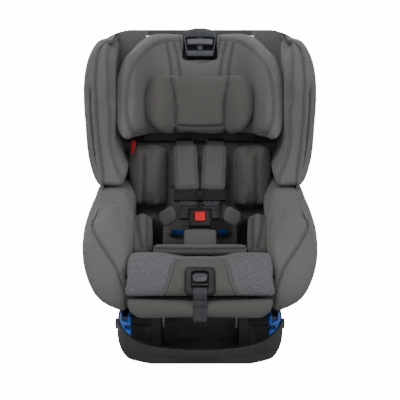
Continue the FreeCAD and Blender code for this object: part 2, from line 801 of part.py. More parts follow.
def crotch_pad():
    """Padded sleeve below the buckle."""
    pad = block(-35, 35, -7, 7, -43, -6, 4.0)
    inner = webbing_width / 2 + 0.8
    pad = pad.cut(block(-inner, inner, -webbing / 2 - 0.9, webbing / 2 + 0.9, -BIG, BIG))
    return placed(pad, crotch_top, crotch_lean)


def splitter_plate():
    """Steel yoke on the back of the shell that joins the two shoulder straps to one."""
    depth = back_depth - skin + 0.4
    plate = block(-26, 26, depth, depth + 2.5, 70, 96)
    plate = plate.cut(block(-21, 21, 0, BIG, 87, 91)).cut(block(-16, 16, 0, BIG, 75, 79))
    return on_back(plate)


def rear_straps():
    """The shoulder straps on the back of the shell, down to the yoke."""
    depth = back_depth - skin + 0.4
    half = webbing_width / 2
    return both_sides(on_back(block(harness_x - half, harness_x + half, depth, depth + webbing, 97, 258)))


def tether_strap():
    """Top anchor strap, stored down the back of the shell."""
    depth = back_depth - skin + 0.4
    return on_back(block(-120, -120 + webbing_width, depth, depth + 3.2, 210, 400))


def tether_hook():
    """Spring hook at the end of the tether."""
    depth = back_depth - skin + 0.4
    hook = block(-116, -86, depth, depth + 6, 150, 209, 2.5)
    hook = hook.cut(block(-109, -93, 0, BIG, 158, 196))
    return on_back(hook.cut(block(-120, -102, 0, BIG, 164, 176)))


# ---------------------------------------------------------------- leg rest
def leg_rest_frame():
    """Moulded front panel on two rails that slide into the bucket."""
    x0, x1, z0, z1 = leg_rail
    panel = block(-128, 128, nose_y + 18.6, nose_y + 22.6, 112, 149)
    for side in (-1, 1):
        low, high = sorted((side * x0, side * x1))
        panel = panel.fuse(block(low, high, nose_y + 20, -70, z0, z1))
    return panel.removeSplitter()


def leg_rest_pad():
    """Soft cover of the leg rest."""
    outline = [
        (nose_y + 18, nose_z - gap, True), (nose_y - 5, nose_z - gap, True), (nose_y - 8, nose_z - 20, False),
        (nose_y - 5, nose_z - 36, False), (nose_y + 4, nose_z - 41, True), (nose_y + 18, nose_z - 41, True),
    ]
    half = [
        (118.0, nose_z - 46, True), (134.0, nose_z - 38, False), (145.0, nose_z - 20, False),
        (thigh_inner - 2.5, nose_z, True),
    ]
    front = prism_xz(mirrored(half), -BIG, BIG)
    return prism_yz(outline, -BIG, BIG).common(front)


# ---------------------------------------------------------------- base
def base_plan(inset, z0, z1):
    """Plan of the base: bowed front, straight sides, rounded rear."""
    w = base_half_width - inset
    front = base_front_y + inset
    rear = base_rear_y - inset
    right = [
        (w, rear - 45, True), (w - 14, rear - 14, False), (w - 45, rear, True),
    ]
    left = [(-x, y, corner) for x, y, corner in reversed(right)]
    bow = [
        (-w, -80.0, True), (-w + 5, -108.0, False), (-w + 24, -138.0, False), (-w + 62, -168.0 + inset, False),
        (-w + 110, front + 12, False), (0.0, front, False), (w - 110, front + 12, False),
        (w - 62, -168.0 + inset, False), (w - 24, -138.0, False), (w - 5, -108.0, False), (w, -80.0, True),
    ]
    wire = loop_wire(right + left + bow, lambda a, b: Vector(a, b, z0))
    return Part.Face(wire).extrude(Vector(0, 0, z1 - z0))


def base_form(inset):
    """Outer form of the whole base, drawn in by inset."""
    w = base_half_width - inset
    half = [
        (w - 42, inset, True), (w - 18, inset + 5, False), (w - 6, inset + 20, False), (w, inset + 52, False),
        (w, 140.0, True),
    ]
    side = [
        (base_front_y + 26 + inset, inset, True), (base_front_y + 8 + inset, 10 + inset, False),
        (base_front_y + inset, lip_z, True), (base_front_y + inset, 140.0, True),
        (base_rear_y - inset, 140.0, True), (base_rear_y - inset, inset + 20, True),
        (base_rear_y - 20 - inset, inset, True),
    ]
    form = base_plan(inset, -1, 140).common(prism_xz(mirrored(half), -BIG, BIG))
    return form.common(prism_yz(side, -BIG, BIG))


def base_rim():
    """Space above the base's upper edge: low lip in front, higher beside and behind the bucket."""
    outline = [
        (-BIG, lip_z, True), (base_front_y + 20, lip_z, True), (-150.0, lip_z + 8, False),
        (-120.0, shoulder_z - 6, False), (-90.0, shoulder_z + 4, True), (-40.0, shoulder_z + 12, False),
        (60.0, shoulder_z + 16, False), (130.0, shoulder_z + 32, False), (170.0, shoulder_z + 42, True),
        (BIG, shoulder_z + 42, True), (BIG, BIG, True), (-BIG, BIG, True),
    ]
    return prism_yz(outline, -BIG, BIG)


def screw_places():
    return [(x, y) for x in (-120.0, 120.0) for y in (-110.0, 130.0)]


def pin_height():
    return arc_z(recline_radius - skin + runner_depth / 2, pin_y)


def base_tub():
    """Upper moulding of the base: floor, walls and the bosses that the recline buttons sit in."""
    inside = base_form(base_wall).cut(block(-BIG, BIG, -BIG, BIG, -BIG, tray_height + gap + base_floor))
    tub = base_form(0.0).cut(inside).cut(base_rim())
    tub = tub.cut(block(-BIG, BIG, -BIG, BIG, -BIG, tray_height + gap / 2))
    for x, y in screw_places():
        tub = tub.cut(rod(screw_radius + screw_clear, (x, y, 0), (x, y, 60)))
    hole = rod(button_radius + 0.5, (-BIG, pin_y, button_z), (BIG, pin_y, button_z))
    return tub.cut(hole)




def base_foot_tray():
    """Lower moulding of the base, with pockets for the non-slip pads."""
    tray = base_form(0.0).common(block(-BIG, BIG, -BIG, BIG, -1, tray_height - gap / 2))
    room = base_form(base_wall + 6).common(block(-BIG, BIG, -BIG, BIG, base_floor + pad_thick, tray_height + 5))
    tray = tray.cut(room)
    for x, y in screw_places():
        tray = tray.fuse(rod(8, (x, y, 2), (x, y, tray_height - gap / 2)))
        tray = tray.cut(rod(screw_radius + screw_clear, (x, y, -1), (x, y, 60)))
        tray = tray.cut(rod(screw_radius * 2 + screw_clear, (x, y, -1), (x, y, 4)))
    for x, y in pad_places():
        tray = tray.cut(rod(pad_radius + 0.2, (x, y, -1), (x, y, pad_thick)))
    return tray.removeSplitter()


def pad_places():
    return [(x, y) for x in (-95.0, 95.0) for y in (-120.0, 140.0)]


def non_slip_pads():
    return Part.makeCompound([rod(pad_radius, (x, y, 0), (x, y, pad_thick - 0.1)) for x, y in pad_places()])


def base_screws():
    """Screws from below that hold the two base mouldings together."""
    screws = []
    for x, y in screw_places():
        head = rod(screw_radius * 2, (x, y, 1), (x, y, 4))
        screws.append(head.fuse(rod(screw_radius, (x, y, 3), (x, y, tray_height + 8))).removeSplitter())
    return Part.makeCompound(screws)


def sector(radius_out, radius_in, y0, y1):
    """Side-view ring sector between two radii about the recline centre."""
    low = arc_points(radius_out, y0, y1, 9)
    high = arc_points(radius_in, y0, y1, 9)
    return low + high[::-1]


def runner_top():
    return recline_radius - skin + 0.1


def recline_runners():
    """Curved rails under the bucket, with the holes for the recline pins."""
    shapes = []
    outer = runner_top() + runner_depth
    for side in (-1, 1):
        x0, x1 = sorted((side * (track_x - runner_width / 2), side * (track_x + runner_width / 2)))
        runner = prism_yz(sector(outer, runner_top(), -150, 112), x0, x1)
        for i in range(5):
            angle = math.radians(-6.0 * i) + math.asin(pin_y / (outer - runner_depth / 2))
            centre_y = -(outer - runner_depth / 2) * math.sin(-angle)
            centre_z = pivot_z - (outer - runner_depth / 2) * math.cos(angle)
            x = side * (track_x - runner_width / 2)
            hole = rod(pin_radius + 0.3, (x - side, centre_y, centre_z), (x + side * pin_bite, centre_y, centre_z))
            runner = runner.cut(hole)
        shapes.append(runner)
    return Part.makeCompound(shapes)


def recline_tracks():
    """Curved channels on the base floor that the runners slide in."""
    shapes = []
    bed = runner_top() + runner_depth + runner_play
    floor_z = tray_height + gap + base_floor + 0.1
    for side in (-1, 1):
        inner = track_x - runner_width / 2 - runner_play
        outer = track_x + runner_width / 2 + runner_play
        x0, x1 = sorted((side * (inner - cheek), side * (outer + cheek)))
        y0, y1 = (-120.0, 165.0)
        low = arc_points(bed, y0, y1, 9)
        block_outline = low + [(y1, floor_z, True), (y0, floor_z, True)]
        high = arc_points(runner_top() + 2.5, y0, y1, 9)
        cheek_outline = high + [(y1, floor_z, True), (y0, floor_z, True)]
        track = prism_yz(cheek_outline, x0, x1)
        c0, c1 = sorted((side * inner, side * outer))
        channel = prism_yz(cheek_outline, c0, c1).cut(prism_yz(block_outline, c0, c1))
        track = track.cut(channel)
        near = side * (inner - cheek - 1)
        track = track.cut(rod(pin_radius + pin_play, (near, pin_y, pin_z()), (side * (inner + 1), pin_y, pin_z())))
        far = side * (outer + cheek + 1)
        track = track.cut(rod(stem_radius + 0.5, (near, pin_y, button_z), (far, pin_y, button_z)))
        shapes.append(track)
    return Part.makeCompound(shapes)


def pin_z():
    return arc_z(runner_top() + runner_depth / 2, pin_y)


def bracket_x():
    """Inner and outer face of the pin's bracket, inside the track."""
    outer = track_x - runner_width / 2 - runner_play - cheek - 2
    return outer - 4, outer


def recline_pin(side):
    """Locking pin on the inner side of a track, on a bracket that the button's stem moves."""
    inner, outer = bracket_x()
    tip = track_x - runner_width / 2 - runner_play - 0.3
    pin = rod(pin_radius, (side * (inner + 2), pin_y, pin_z()), (side * tip, pin_y, pin_z()))
    x0, x1 = sorted((side * inner, side * outer))
    bracket = block(x0, x1, pin_y - 7, pin_y + 7, button_z - 7, pin_z() + 4)
    return pin.fuse(bracket).removeSplitter()


def recline_button(side):
    """Round push button in the base's side wall, with a stem under the track to the pin's bracket."""
    outer = base_half_width + button_proud
    cap = rod(button_radius, (side * (base_half_width - 14), pin_y, button_z), (side * outer, pin_y, button_z))
    stem_end = bracket_x()[1]
    stem = rod(stem_radius, (side * stem_end, pin_y, button_z), (side * (base_half_width - 10), pin_y, button_z))
    return cap.fuse(stem).removeSplitter()


def belt_guides():
    """Hooks for the vehicle belt, on the base beside the bucket's front."""
    right = block(144, base_half_width - base_wall - 0.2, -132, -88, shoulder_z - 22, 90, 3.0)
    right = right.cut(block(150, 164, -BIG, BIG, 76, 200)).cut(block(140, 158, -BIG, BIG, 60, 70))
    right = right.common(base_form(base_wall + 0.2))
    return both_sides(largest(right))


def anchor_connectors():
    """Lower anchor connectors, stored in the rear of the base."""
    right = block(118, 144, 118, 188, 30, 52, 4.0)
    right = right.cut(block(100, 160, 176, 200, 37, 45))
    return both_sides(right)


# ---------------------------------------------------------------- assembly
def build():
    covers = side_covers()
    upper, lower = bucket_mouldings()
    wing = wing_pad_right(covers)
    arm = arm_pad_right(covers)
    sided = {
        "wing_pad": (wing, mirror_x(wing)),
        "arm_pad": (arm, mirror_x(arm)),
        "insert_side": (insert_side_right(), mirror_x(insert_side_right())),
        "shoulder_pad": (shoulder_pad(1), shoulder_pad(-1)),
        "shoulder_strap": (shoulder_strap(1), shoulder_strap(-1)),
        "chest_clip": (chest_clip_half(1), chest_clip_half(-1)),
        "tongue": (tongue(1), tongue(-1)),
        "recline_button": (recline_button(1), recline_button(-1)),
        "recline_pin": (recline_pin(1), recline_pin(-1)),
    }
    shapes = {
        "seat_shell": upper,
        "shell_belly": lower,
        "back_cushion": back_cushion(),
        "seat_cushion": seat_cushion(),
        "insert_back": insert_back(),
        "insert_seat": insert_seat(),
        "insert_hips": both_sides(insert_hip_right()),
        "insert_front_roll": insert_front_roll(),
        "adjuster_plate": adjuster_plate(),
        "adjuster_button": adjuster_button(),
        "adjuster_strap": adjuster_strap(),
        "adjuster_strap_tail": adjuster_strap_tail(),
        "headrest_pad": headrest_pad(),
        "headrest_frame": headrest_frame(),
        "headrest_guide_tubes": headrest_guide_tubes(),
        "headrest_rack": headrest_rack(),
        "headrest_handle": headrest_handle(),
        "headrest_trigger": headrest_trigger(),
        "headrest_lock_bar": headrest_lock_bar(),
        "head_pillow": head_pillow(),
        "lower_straps": Part.makeCompound([lower_strap(1), lower_strap(-1)]),
        "lap_straps": Part.makeCompound([lap_strap(1), lap_strap(-1)]),
        "lap_pads": Part.makeCompound([lap_pad(1), lap_pad(-1)]),
        "chest_clip_button": chest_clip_button(),
        "buckle_housing": buckle_housing(),
        "buckle_button": buckle_button(),
        "crotch_strap": crotch_strap(),
        "crotch_pad": crotch_pad(),
        "splitter_plate": splitter_plate(),
        "rear_straps": rear_straps(),
        "tether_strap": tether_strap(),
        "tether_hook": tether_hook(),
        "leg_rest_frame": leg_rest_frame(),
        "leg_rest_pad": leg_rest_pad(),
        "base_tub": base_tub(),
        "base_foot_tray": base_foot_tray(),
        "non_slip_pads": non_slip_pads(),
        "base_screws": base_screws(),
        "recline_runners": recline_runners(),
        "recline_tracks": recline_tracks(),
        "belt_guides": belt_guides(),
        "anchor_connectors": anchor_connectors(),
    }
    for name, (right, left) in sided.items():
        shapes[name + "_right"] = right
        shapes[name + "_left"] = left
    return shapes


os.makedirs("parts", exist_ok=True)
for name, shape in build().items():
    solids = shape.Solids
    whole = solids[0] if len(solids) == 1 else Part.makeCompound(solids)
    whole.exportStep("parts/" + name + ".step")
    print(f"{name:24s} {len(solids)} solid(s)  {whole.Volume / 1000:8.1f} cm3  valid {whole.isValid()}")
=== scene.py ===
# %% [markdown]
# # A convertible child car seat
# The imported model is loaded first, as a fixed frame in metres: +Z is up and the seat faces -Y.
# Its hard parts stay and get better finishes. Its plain soft solids are replaced, one at a time,
# by covers and cushions that are built here around the same sizes.

# %% Load the frame
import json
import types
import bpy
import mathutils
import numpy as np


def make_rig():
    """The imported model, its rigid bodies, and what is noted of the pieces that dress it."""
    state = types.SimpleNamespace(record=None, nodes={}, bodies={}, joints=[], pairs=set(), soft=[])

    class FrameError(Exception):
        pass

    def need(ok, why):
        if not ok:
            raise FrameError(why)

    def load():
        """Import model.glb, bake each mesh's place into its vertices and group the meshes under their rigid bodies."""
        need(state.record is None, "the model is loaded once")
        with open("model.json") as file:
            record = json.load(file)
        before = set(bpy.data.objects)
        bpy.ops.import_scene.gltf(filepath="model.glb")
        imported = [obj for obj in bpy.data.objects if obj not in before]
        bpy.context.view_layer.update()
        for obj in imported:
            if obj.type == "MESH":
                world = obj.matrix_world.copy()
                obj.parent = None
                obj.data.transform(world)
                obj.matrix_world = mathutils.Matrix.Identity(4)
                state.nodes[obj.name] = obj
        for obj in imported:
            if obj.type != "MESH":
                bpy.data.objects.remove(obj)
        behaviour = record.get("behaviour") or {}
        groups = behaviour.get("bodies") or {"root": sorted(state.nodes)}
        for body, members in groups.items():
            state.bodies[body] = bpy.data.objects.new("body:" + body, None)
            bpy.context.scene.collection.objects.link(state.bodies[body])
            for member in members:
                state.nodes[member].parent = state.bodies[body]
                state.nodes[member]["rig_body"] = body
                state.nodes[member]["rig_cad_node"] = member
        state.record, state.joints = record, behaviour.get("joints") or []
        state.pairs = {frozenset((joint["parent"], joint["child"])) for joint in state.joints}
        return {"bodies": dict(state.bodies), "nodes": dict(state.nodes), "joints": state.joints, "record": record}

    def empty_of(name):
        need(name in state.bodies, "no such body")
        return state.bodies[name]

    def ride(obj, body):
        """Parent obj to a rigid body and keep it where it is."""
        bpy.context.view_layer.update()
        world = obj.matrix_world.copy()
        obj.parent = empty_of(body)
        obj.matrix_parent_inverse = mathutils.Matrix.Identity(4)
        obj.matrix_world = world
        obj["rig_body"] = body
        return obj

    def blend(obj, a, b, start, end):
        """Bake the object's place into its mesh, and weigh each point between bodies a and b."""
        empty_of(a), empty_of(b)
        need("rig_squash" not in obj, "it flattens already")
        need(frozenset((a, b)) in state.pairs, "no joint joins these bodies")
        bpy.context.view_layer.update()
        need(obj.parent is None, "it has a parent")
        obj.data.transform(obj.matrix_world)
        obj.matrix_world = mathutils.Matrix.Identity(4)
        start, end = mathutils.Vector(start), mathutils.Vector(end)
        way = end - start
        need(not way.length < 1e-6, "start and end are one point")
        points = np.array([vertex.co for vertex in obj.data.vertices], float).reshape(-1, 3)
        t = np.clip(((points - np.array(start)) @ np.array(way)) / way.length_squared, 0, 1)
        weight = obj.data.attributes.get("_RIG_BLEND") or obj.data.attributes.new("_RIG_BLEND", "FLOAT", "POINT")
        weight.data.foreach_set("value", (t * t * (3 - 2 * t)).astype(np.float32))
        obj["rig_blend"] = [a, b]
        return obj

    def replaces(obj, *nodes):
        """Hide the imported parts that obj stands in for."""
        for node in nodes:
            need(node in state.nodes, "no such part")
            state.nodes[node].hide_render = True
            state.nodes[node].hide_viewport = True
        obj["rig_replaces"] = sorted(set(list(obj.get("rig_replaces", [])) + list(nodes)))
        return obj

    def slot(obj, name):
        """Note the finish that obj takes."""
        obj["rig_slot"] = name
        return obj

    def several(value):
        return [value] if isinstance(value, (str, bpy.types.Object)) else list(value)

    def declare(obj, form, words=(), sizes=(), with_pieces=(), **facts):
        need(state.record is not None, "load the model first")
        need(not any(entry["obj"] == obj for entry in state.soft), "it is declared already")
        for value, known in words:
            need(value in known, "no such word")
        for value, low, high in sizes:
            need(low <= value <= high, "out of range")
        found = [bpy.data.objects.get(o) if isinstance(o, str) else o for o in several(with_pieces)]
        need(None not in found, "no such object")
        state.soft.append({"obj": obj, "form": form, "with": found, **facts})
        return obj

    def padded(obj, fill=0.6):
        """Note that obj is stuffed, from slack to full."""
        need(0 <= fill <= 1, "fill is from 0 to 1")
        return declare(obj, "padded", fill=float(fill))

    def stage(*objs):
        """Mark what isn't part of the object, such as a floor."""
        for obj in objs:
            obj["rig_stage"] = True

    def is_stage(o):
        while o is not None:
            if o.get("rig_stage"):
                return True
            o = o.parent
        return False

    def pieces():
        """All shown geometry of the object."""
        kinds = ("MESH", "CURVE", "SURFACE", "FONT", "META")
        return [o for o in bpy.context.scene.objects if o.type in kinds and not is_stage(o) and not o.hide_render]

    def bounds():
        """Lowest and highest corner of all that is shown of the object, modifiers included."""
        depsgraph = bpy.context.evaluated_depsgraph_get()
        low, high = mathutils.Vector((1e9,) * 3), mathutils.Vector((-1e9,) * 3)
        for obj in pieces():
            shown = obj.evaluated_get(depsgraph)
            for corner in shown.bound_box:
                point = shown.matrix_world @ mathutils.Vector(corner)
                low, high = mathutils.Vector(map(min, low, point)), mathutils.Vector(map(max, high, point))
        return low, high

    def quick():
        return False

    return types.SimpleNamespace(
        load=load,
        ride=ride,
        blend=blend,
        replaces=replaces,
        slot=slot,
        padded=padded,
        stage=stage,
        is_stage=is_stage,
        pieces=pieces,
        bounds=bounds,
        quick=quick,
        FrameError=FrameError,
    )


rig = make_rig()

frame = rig.load()
import json
import math

import bmesh
import bpy
import numpy as np
from mathutils import Vector, noise
from mathutils.bvhtree import BVHTree
from mathutils.kdtree import KDTree

cad_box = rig.bounds()
bpy.ops.object.select_all(action="DESELECT")
print("frame:", len(frame["nodes"]), "nodes, box", cad_box)

# %% [markdown]
# ## Camera, floor and light
# A long lens, a little above the seat, keeps upright edges nearly upright. The light is a broad
# soft box in front and above, a weaker one at each side and a pale room, as in a studio: padded
# fabric reads by its gentle shading, so no lamp is small or hard.

# %% Camera, floor and light
VIEW_HEIGHT = 0.31
VIEW_TILT = math.radians(12.0)
VIEW_DISTANCE = 3.0
LENS = 125.8


def add_camera():
    """A camera that looks along +Y and down at the middle of the seat."""
    data = bpy.data.cameras.new("camera")
    data.lens = LENS
    data.sensor_width = 36.0
    camera = bpy.data.objects.new("camera", data)
    back = VIEW_DISTANCE * math.cos(VIEW_TILT)
    camera.location = (0.0, -back, VIEW_HEIGHT + VIEW_DISTANCE * math.sin(VIEW_TILT))
    camera.rotation_euler = (math.pi / 2 - VIEW_TILT, 0.0, 0.0)
    bpy.context.scene.collection.objects.link(camera)
    bpy.context.scene.camera = camera


def add_area_light(name, place, size, power):
    """A square soft box that faces the middle of the seat."""
    data = bpy.data.lights.new(name, "AREA")
    data.shape = "SQUARE"
    data.size = size
    data.energy = power
    lamp = bpy.data.objects.new(name, data)
    lamp.location = place
    aim = Vector((0.0, 0.0, VIEW_HEIGHT)) - Vector(place)
    lamp.rotation_euler = aim.to_track_quat("-Z", "Y").to_euler()
    bpy.context.scene.collection.objects.link(lamp)


def only_seen(tree, socket, unseen, seen):
    """Gives a strength one value for the camera and another for the light it sheds."""
    path = tree.nodes.new("ShaderNodeLightPath")
    strength = tree.nodes.new("ShaderNodeMapRange")
    strength.inputs["To Min"].default_value = unseen
    strength.inputs["To Max"].default_value = seen
    tree.links.new(path.outputs["Is Camera Ray"], strength.inputs["Value"])
    tree.links.new(strength.outputs["Result"], socket)


def add_floor():
    """A large white floor that the base rests on."""
    bpy.ops.mesh.primitive_plane_add(size=60.0, location=(0.0, 20.0, 0.0))
    floor = bpy.context.object
    floor.name = "floor"
    material = bpy.data.materials.new("floor_paint")
    material.use_nodes = True
    shader = material.node_tree.nodes["Principled BSDF"]
    shader.inputs["Base Color"].default_value = (0.5, 0.5, 0.5, 1.0)
    shader.inputs["Roughness"].default_value = 0.9
    shader.inputs["Emission Color"].default_value = (1.0, 1.0, 1.0, 1.0)
    only_seen(material.node_tree, shader.inputs["Emission Strength"], 0.0, 14.0)
    floor.data.materials.append(material)
    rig.stage(floor)


def add_room():
    """Pale light from all round."""
    world = bpy.data.worlds.new("room")
    world.use_nodes = True
    background = world.node_tree.nodes["Background"]
    background.inputs["Color"].default_value = (1.0, 1.0, 1.0, 1.0)
    only_seen(world.node_tree, background.inputs["Strength"], 0.72, 14.0)
    bpy.context.scene.world = world


add_camera()
add_floor()
add_room()
add_area_light("key", (-0.7, -2.6, 2.7), 1.6, 62.0)
add_area_light("fill", (2.2, -1.8, 1.3), 1.6, 16.0)
add_area_light("rim", (-1.6, 1.6, 2.2), 1.2, 26.0)
bpy.ops.object.select_all(action="DESELECT")
print("camera, floor and three lights")

# %% [markdown]
# ## Helpers for soft pieces
# A sewn cover starts from a closed form: either a copy of the plain solid it stands for, or a
# loft through sections. It is remeshed to even squares, rounded, blown up a little as cloth and
# made finer. Only then are its seams drawn in, because remeshing would rub them out.

# %% Curves through a few points
MM = 0.001


def flowing_line(points, spacing=1.5 * MM):
    """Evenly spaced points on a smooth line through a few points, in two or three dimensions."""
    corners = np.array(points, float)
    reach = np.concatenate([[0.0], np.cumsum(np.linalg.norm(np.diff(corners, axis=0), axis=1))])
    ghost = np.vstack([2 * corners[0] - corners[1], corners, 2 * corners[-1] - corners[-2]])
    line = []
    for i in range(len(corners) - 1):
        p0, p1, p2, p3 = ghost[i:i + 4]
        count = max(2, int((reach[i + 1] - reach[i]) / spacing))
        for s in np.arange(count) / count:
            line.append(0.5 * (2 * p1 + (p2 - p0) * s + (2 * p0 - 5 * p1 + 4 * p2 - p3) * s ** 2
                               + (3 * p1 - p0 - 3 * p2 + p3) * s ** 3))
    line.append(corners[-1])
    return np.array(line)


# %% Meshes from points
def mesh_piece(name, vertices, faces):
    """A new object from points and faces, with its faces pointing outwards."""
    mesh = bpy.data.meshes.new(name)
    mesh.from_pydata([tuple(v) for v in vertices], [], faces)
    bm = bmesh.new()
    bm.from_mesh(mesh)
    bmesh.ops.remove_doubles(bm, verts=bm.verts, dist=1e-6)
    bmesh.ops.recalc_face_normals(bm, faces=bm.faces)
    bm.to_mesh(mesh)
    bm.free()
    piece = bpy.data.objects.new(name, mesh)
    bpy.context.scene.collection.objects.link(piece)
    return piece


def loft(name, loops):
    """A closed form through closed loops of equal length, with both ends capped."""
    count = len(loops[0])
    vertices = [p for loop in loops for p in loop]
    faces = []
    for k in range(len(loops) - 1):
        for i in range(count):
            j = (i + 1) % count
            a, b = k * count, (k + 1) * count
            faces.append((a + i, a + j, b + j, b + i))
    for k in (0, len(loops) - 1):
        vertices.append(np.mean(loops[k], axis=0))
        hub = len(vertices) - 1
        faces += [(hub, k * count + i, k * count + (i + 1) % count) for i in range(count)]
    return mesh_piece(name, vertices, faces)


def copy_of_node(name, node):
    """A new object with a welded copy of a CAD node's mesh."""
    mesh = frame["nodes"][node].data.copy()
    mesh.name = name
    mesh.materials.clear()
    bm = bmesh.new()
    bm.from_mesh(mesh)
    bmesh.ops.remove_doubles(bm, verts=bm.verts, dist=1e-5)
    bm.to_mesh(mesh)
    bm.free()
    piece = bpy.data.objects.new(name, mesh)
    bpy.context.scene.collection.objects.link(piece)
    return piece


def apply_modifier(piece, modifier):
    bpy.ops.object.select_all(action="DESELECT")
    piece.select_set(True)
    bpy.context.view_layer.objects.active = piece
    bpy.ops.object.modifier_apply(modifier=modifier.name)


def get_points(piece):
    flat = np.empty(len(piece.data.vertices) * 3)
    piece.data.vertices.foreach_get("co", flat)
    return flat.reshape(-1, 3)


def set_points(piece, points):
    piece.data.vertices.foreach_set("co", np.asarray(points, float).ravel())
    piece.data.update()


def get_normals(piece):
    flat = np.empty(len(piece.data.vertices) * 3)
    piece.data.vertices.foreach_get("normal", flat)
    return flat.reshape(-1, 3)


# %% Even squares, rounding, swelling and refining
def remesh(piece, size):
    modifier = piece.modifiers.new("remesh", "REMESH")
    modifier.mode = "VOXEL"
    modifier.voxel_size = size
    apply_modifier(piece, modifier)


def soften(piece, rounds, weight=None):
    """Rounds a form by moving each point towards its neighbours' middle; weight limits where."""
    points = get_points(piece)
    edges = np.array([e.vertices[:] for e in piece.data.edges])
    count = np.bincount(edges.ravel(), minlength=len(points))[:, None]
    share = 0.5 if weight is None else 0.5 * weight(points)[:, None]
    for _ in range(rounds):
        total = np.zeros_like(points)
        np.add.at(total, edges[:, 0], points[edges[:, 1]])
        np.add.at(total, edges[:, 1], points[edges[:, 0]])
        points = points + share * (total / count - points)
    set_points(piece, points)


def puff(piece, pressure, cap):
    """Blows a closed piece up as cloth for twenty frames; no point moves further than cap."""
    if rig.quick():
        return
    before = get_points(piece)
    modifier = piece.modifiers.new("cloth", "CLOTH")
    modifier.settings.use_pressure = True
    modifier.settings.uniform_pressure_force = pressure
    modifier.settings.effector_weights.gravity = 0.0
    scene = bpy.context.scene
    for step in range(1, 21):
        scene.frame_set(step)
    result = piece.evaluated_get(bpy.context.evaluated_depsgraph_get())
    flat = np.empty(len(before) * 3)
    result.data.vertices.foreach_get("co", flat)
    move = flat.reshape(-1, 3) - before
    length = np.linalg.norm(move, axis=1)[:, None]
    piece.modifiers.remove(modifier)
    scene.frame_set(1)
    set_points(piece, before + move * np.minimum(1.0, cap / np.maximum(length, 1e-9)))


def refine(piece):
    modifier = piece.modifiers.new("refine", "SUBSURF")
    modifier.levels = 1
    modifier.render_levels = 1
    apply_modifier(piece, modifier)


def crease_noise(piece, height, scale, seed):
    """Slow, shallow waves, as cloth over foam has."""
    points = get_points(piece)
    normals = get_normals(piece)
    shift = Vector((seed * 3.1, seed * 1.7, seed * 0.9))
    wave = np.array([noise.noise(Vector(p) / scale + shift) for p in points])
    set_points(piece, points + normals * (wave * height)[:, None])


def surface(piece):
    """The piece's surface as a tree that can be asked for its nearest point or hit by a ray."""
    mesh = piece.data
    return BVHTree.FromPolygons([v.co[:] for v in mesh.vertices], [p.vertices[:] for p in mesh.polygons])


def line_on_front(tree, points, start_y=-0.6):
    """A smooth line given by (x, z) points, laid on a surface as seen from straight in front."""
    hits = []
    for x, z in flowing_line(points):
        place, normal, _, _ = tree.ray_cast(Vector((x, start_y, z)), Vector((0, 1, 0)))
        if place is not None:
            hits.append((place, normal))
    return hits


def line_near(tree, points):
    """A smooth line through 3-D points, pulled onto the nearest surface."""
    hits = []
    for p in flowing_line(points):
        place, normal, _, _ = tree.find_nearest(Vector(p))
        hits.append((place, normal))
    return hits


def sew(piece, lines, depth, width, crown=0.0, reach=20 * MM):
    """Pulls the surface in along sewn lines and lets it swell between them."""
    places = [hit[0] for line in lines for hit in line]
    tree = KDTree(len(places))
    for i, place in enumerate(places):
        tree.insert(place, i)
    tree.balance()
    points = get_points(piece)
    away = np.array([tree.find(p)[2] for p in points])
    move = crown * (1 - np.exp(-(away / reach) ** 2)) - depth * np.exp(-(away / width) ** 2)
    set_points(piece, points + get_normals(piece) * move[:, None])
    # the nearness to the seam lines weights the shade painted into the seam grooves
    keep_seam_shade_weight(piece, np.exp(-(away / (1.3 * width)) ** 2))


def keep_seam_shade_weight(piece, amount):
    """Keeps how near each point is to a seam, as the weight of the shade that the material paints into the seam
    grooves.
    """
    layer = piece.data.attributes.get("seam")
    if layer is None:
        layer = piece.data.attributes.new("seam", "FLOAT", "POINT")
        layer.data.foreach_set("value", amount)
        return
    old = np.empty(len(piece.data.vertices))
    layer.data.foreach_get("value", old)
    layer.data.foreach_set("value", np.maximum(old, amount))


# %% [markdown]
# ## Piping and stitches
# Piping is a thin cord sewn between two panels; a stitch row is many short threads. Both follow
# a line that already lies on a cover, so they are tubes and small spindles set along it.

# %% Piping and stitches
def tube_mesh(line, radius, sides=8, lift=0.0):
    """Points and faces of a closed tube along a line of (place, normal)."""
    vertices, faces = [], []
    count = len(line)
    for i, (place, normal) in enumerate(line):
        along = (line[min(i + 1, count - 1)][0] - line[max(i - 1, 0)][0]).normalized()
        side = along.cross(normal).normalized()
        up = side.cross(along)
        middle = place + normal * lift
        for k in range(sides):
            angle = 2 * math.pi * k / sides
            vertices.append(middle + side * (radius * math.cos(angle)) + up * (radius * math.sin(angle)))
    for i in range(count - 1):
        for k in range(sides):
            j = (k + 1) % sides
            faces.append((i * sides + k, i * sides + j, (i + 1) * sides + j, (i + 1) * sides + k))
    faces.append(tuple(range(sides)))
    faces.append(tuple((count - 1) * sides + k for k in range(sides)))
    return vertices, faces


def piping(name, lines, radius, lift):
    """One piece of piping along one or more lines."""
    vertices, faces = [], []
    for line in lines:
        thinned = line[::2] + line[-1:]
        new_vertices, new_faces = tube_mesh(thinned, radius, lift=lift)
        faces += [tuple(i + len(vertices) for i in face) for face in new_faces]
        vertices += new_vertices
    return smooth_shaded(mesh_piece(name, vertices, faces))


def smooth_shaded(piece):
    piece.data.polygons.foreach_set("use_smooth", [True] * len(piece.data.polygons))
    piece.data.update()
    return piece


def offset_line(line, distance):
    """A line moved sideways over the surface."""
    moved = []
    for i, (place, normal) in enumerate(line):
        along = (line[min(i + 1, len(line) - 1)][0] - line[max(i - 1, 0)][0]).normalized()
        moved.append((place + along.cross(normal).normalized() * distance, normal))
    return moved


def settle(line, tree):
    """Puts a line back on a surface that has since moved."""
    settled = []
    for place, _ in line:
        near, normal, _, _ = tree.find_nearest(place)
        settled.append((near, normal))
    return settled


STITCH_LENGTH = 3.4 * MM
STITCH_PITCH = 4.8 * MM
THREAD = 0.42 * MM


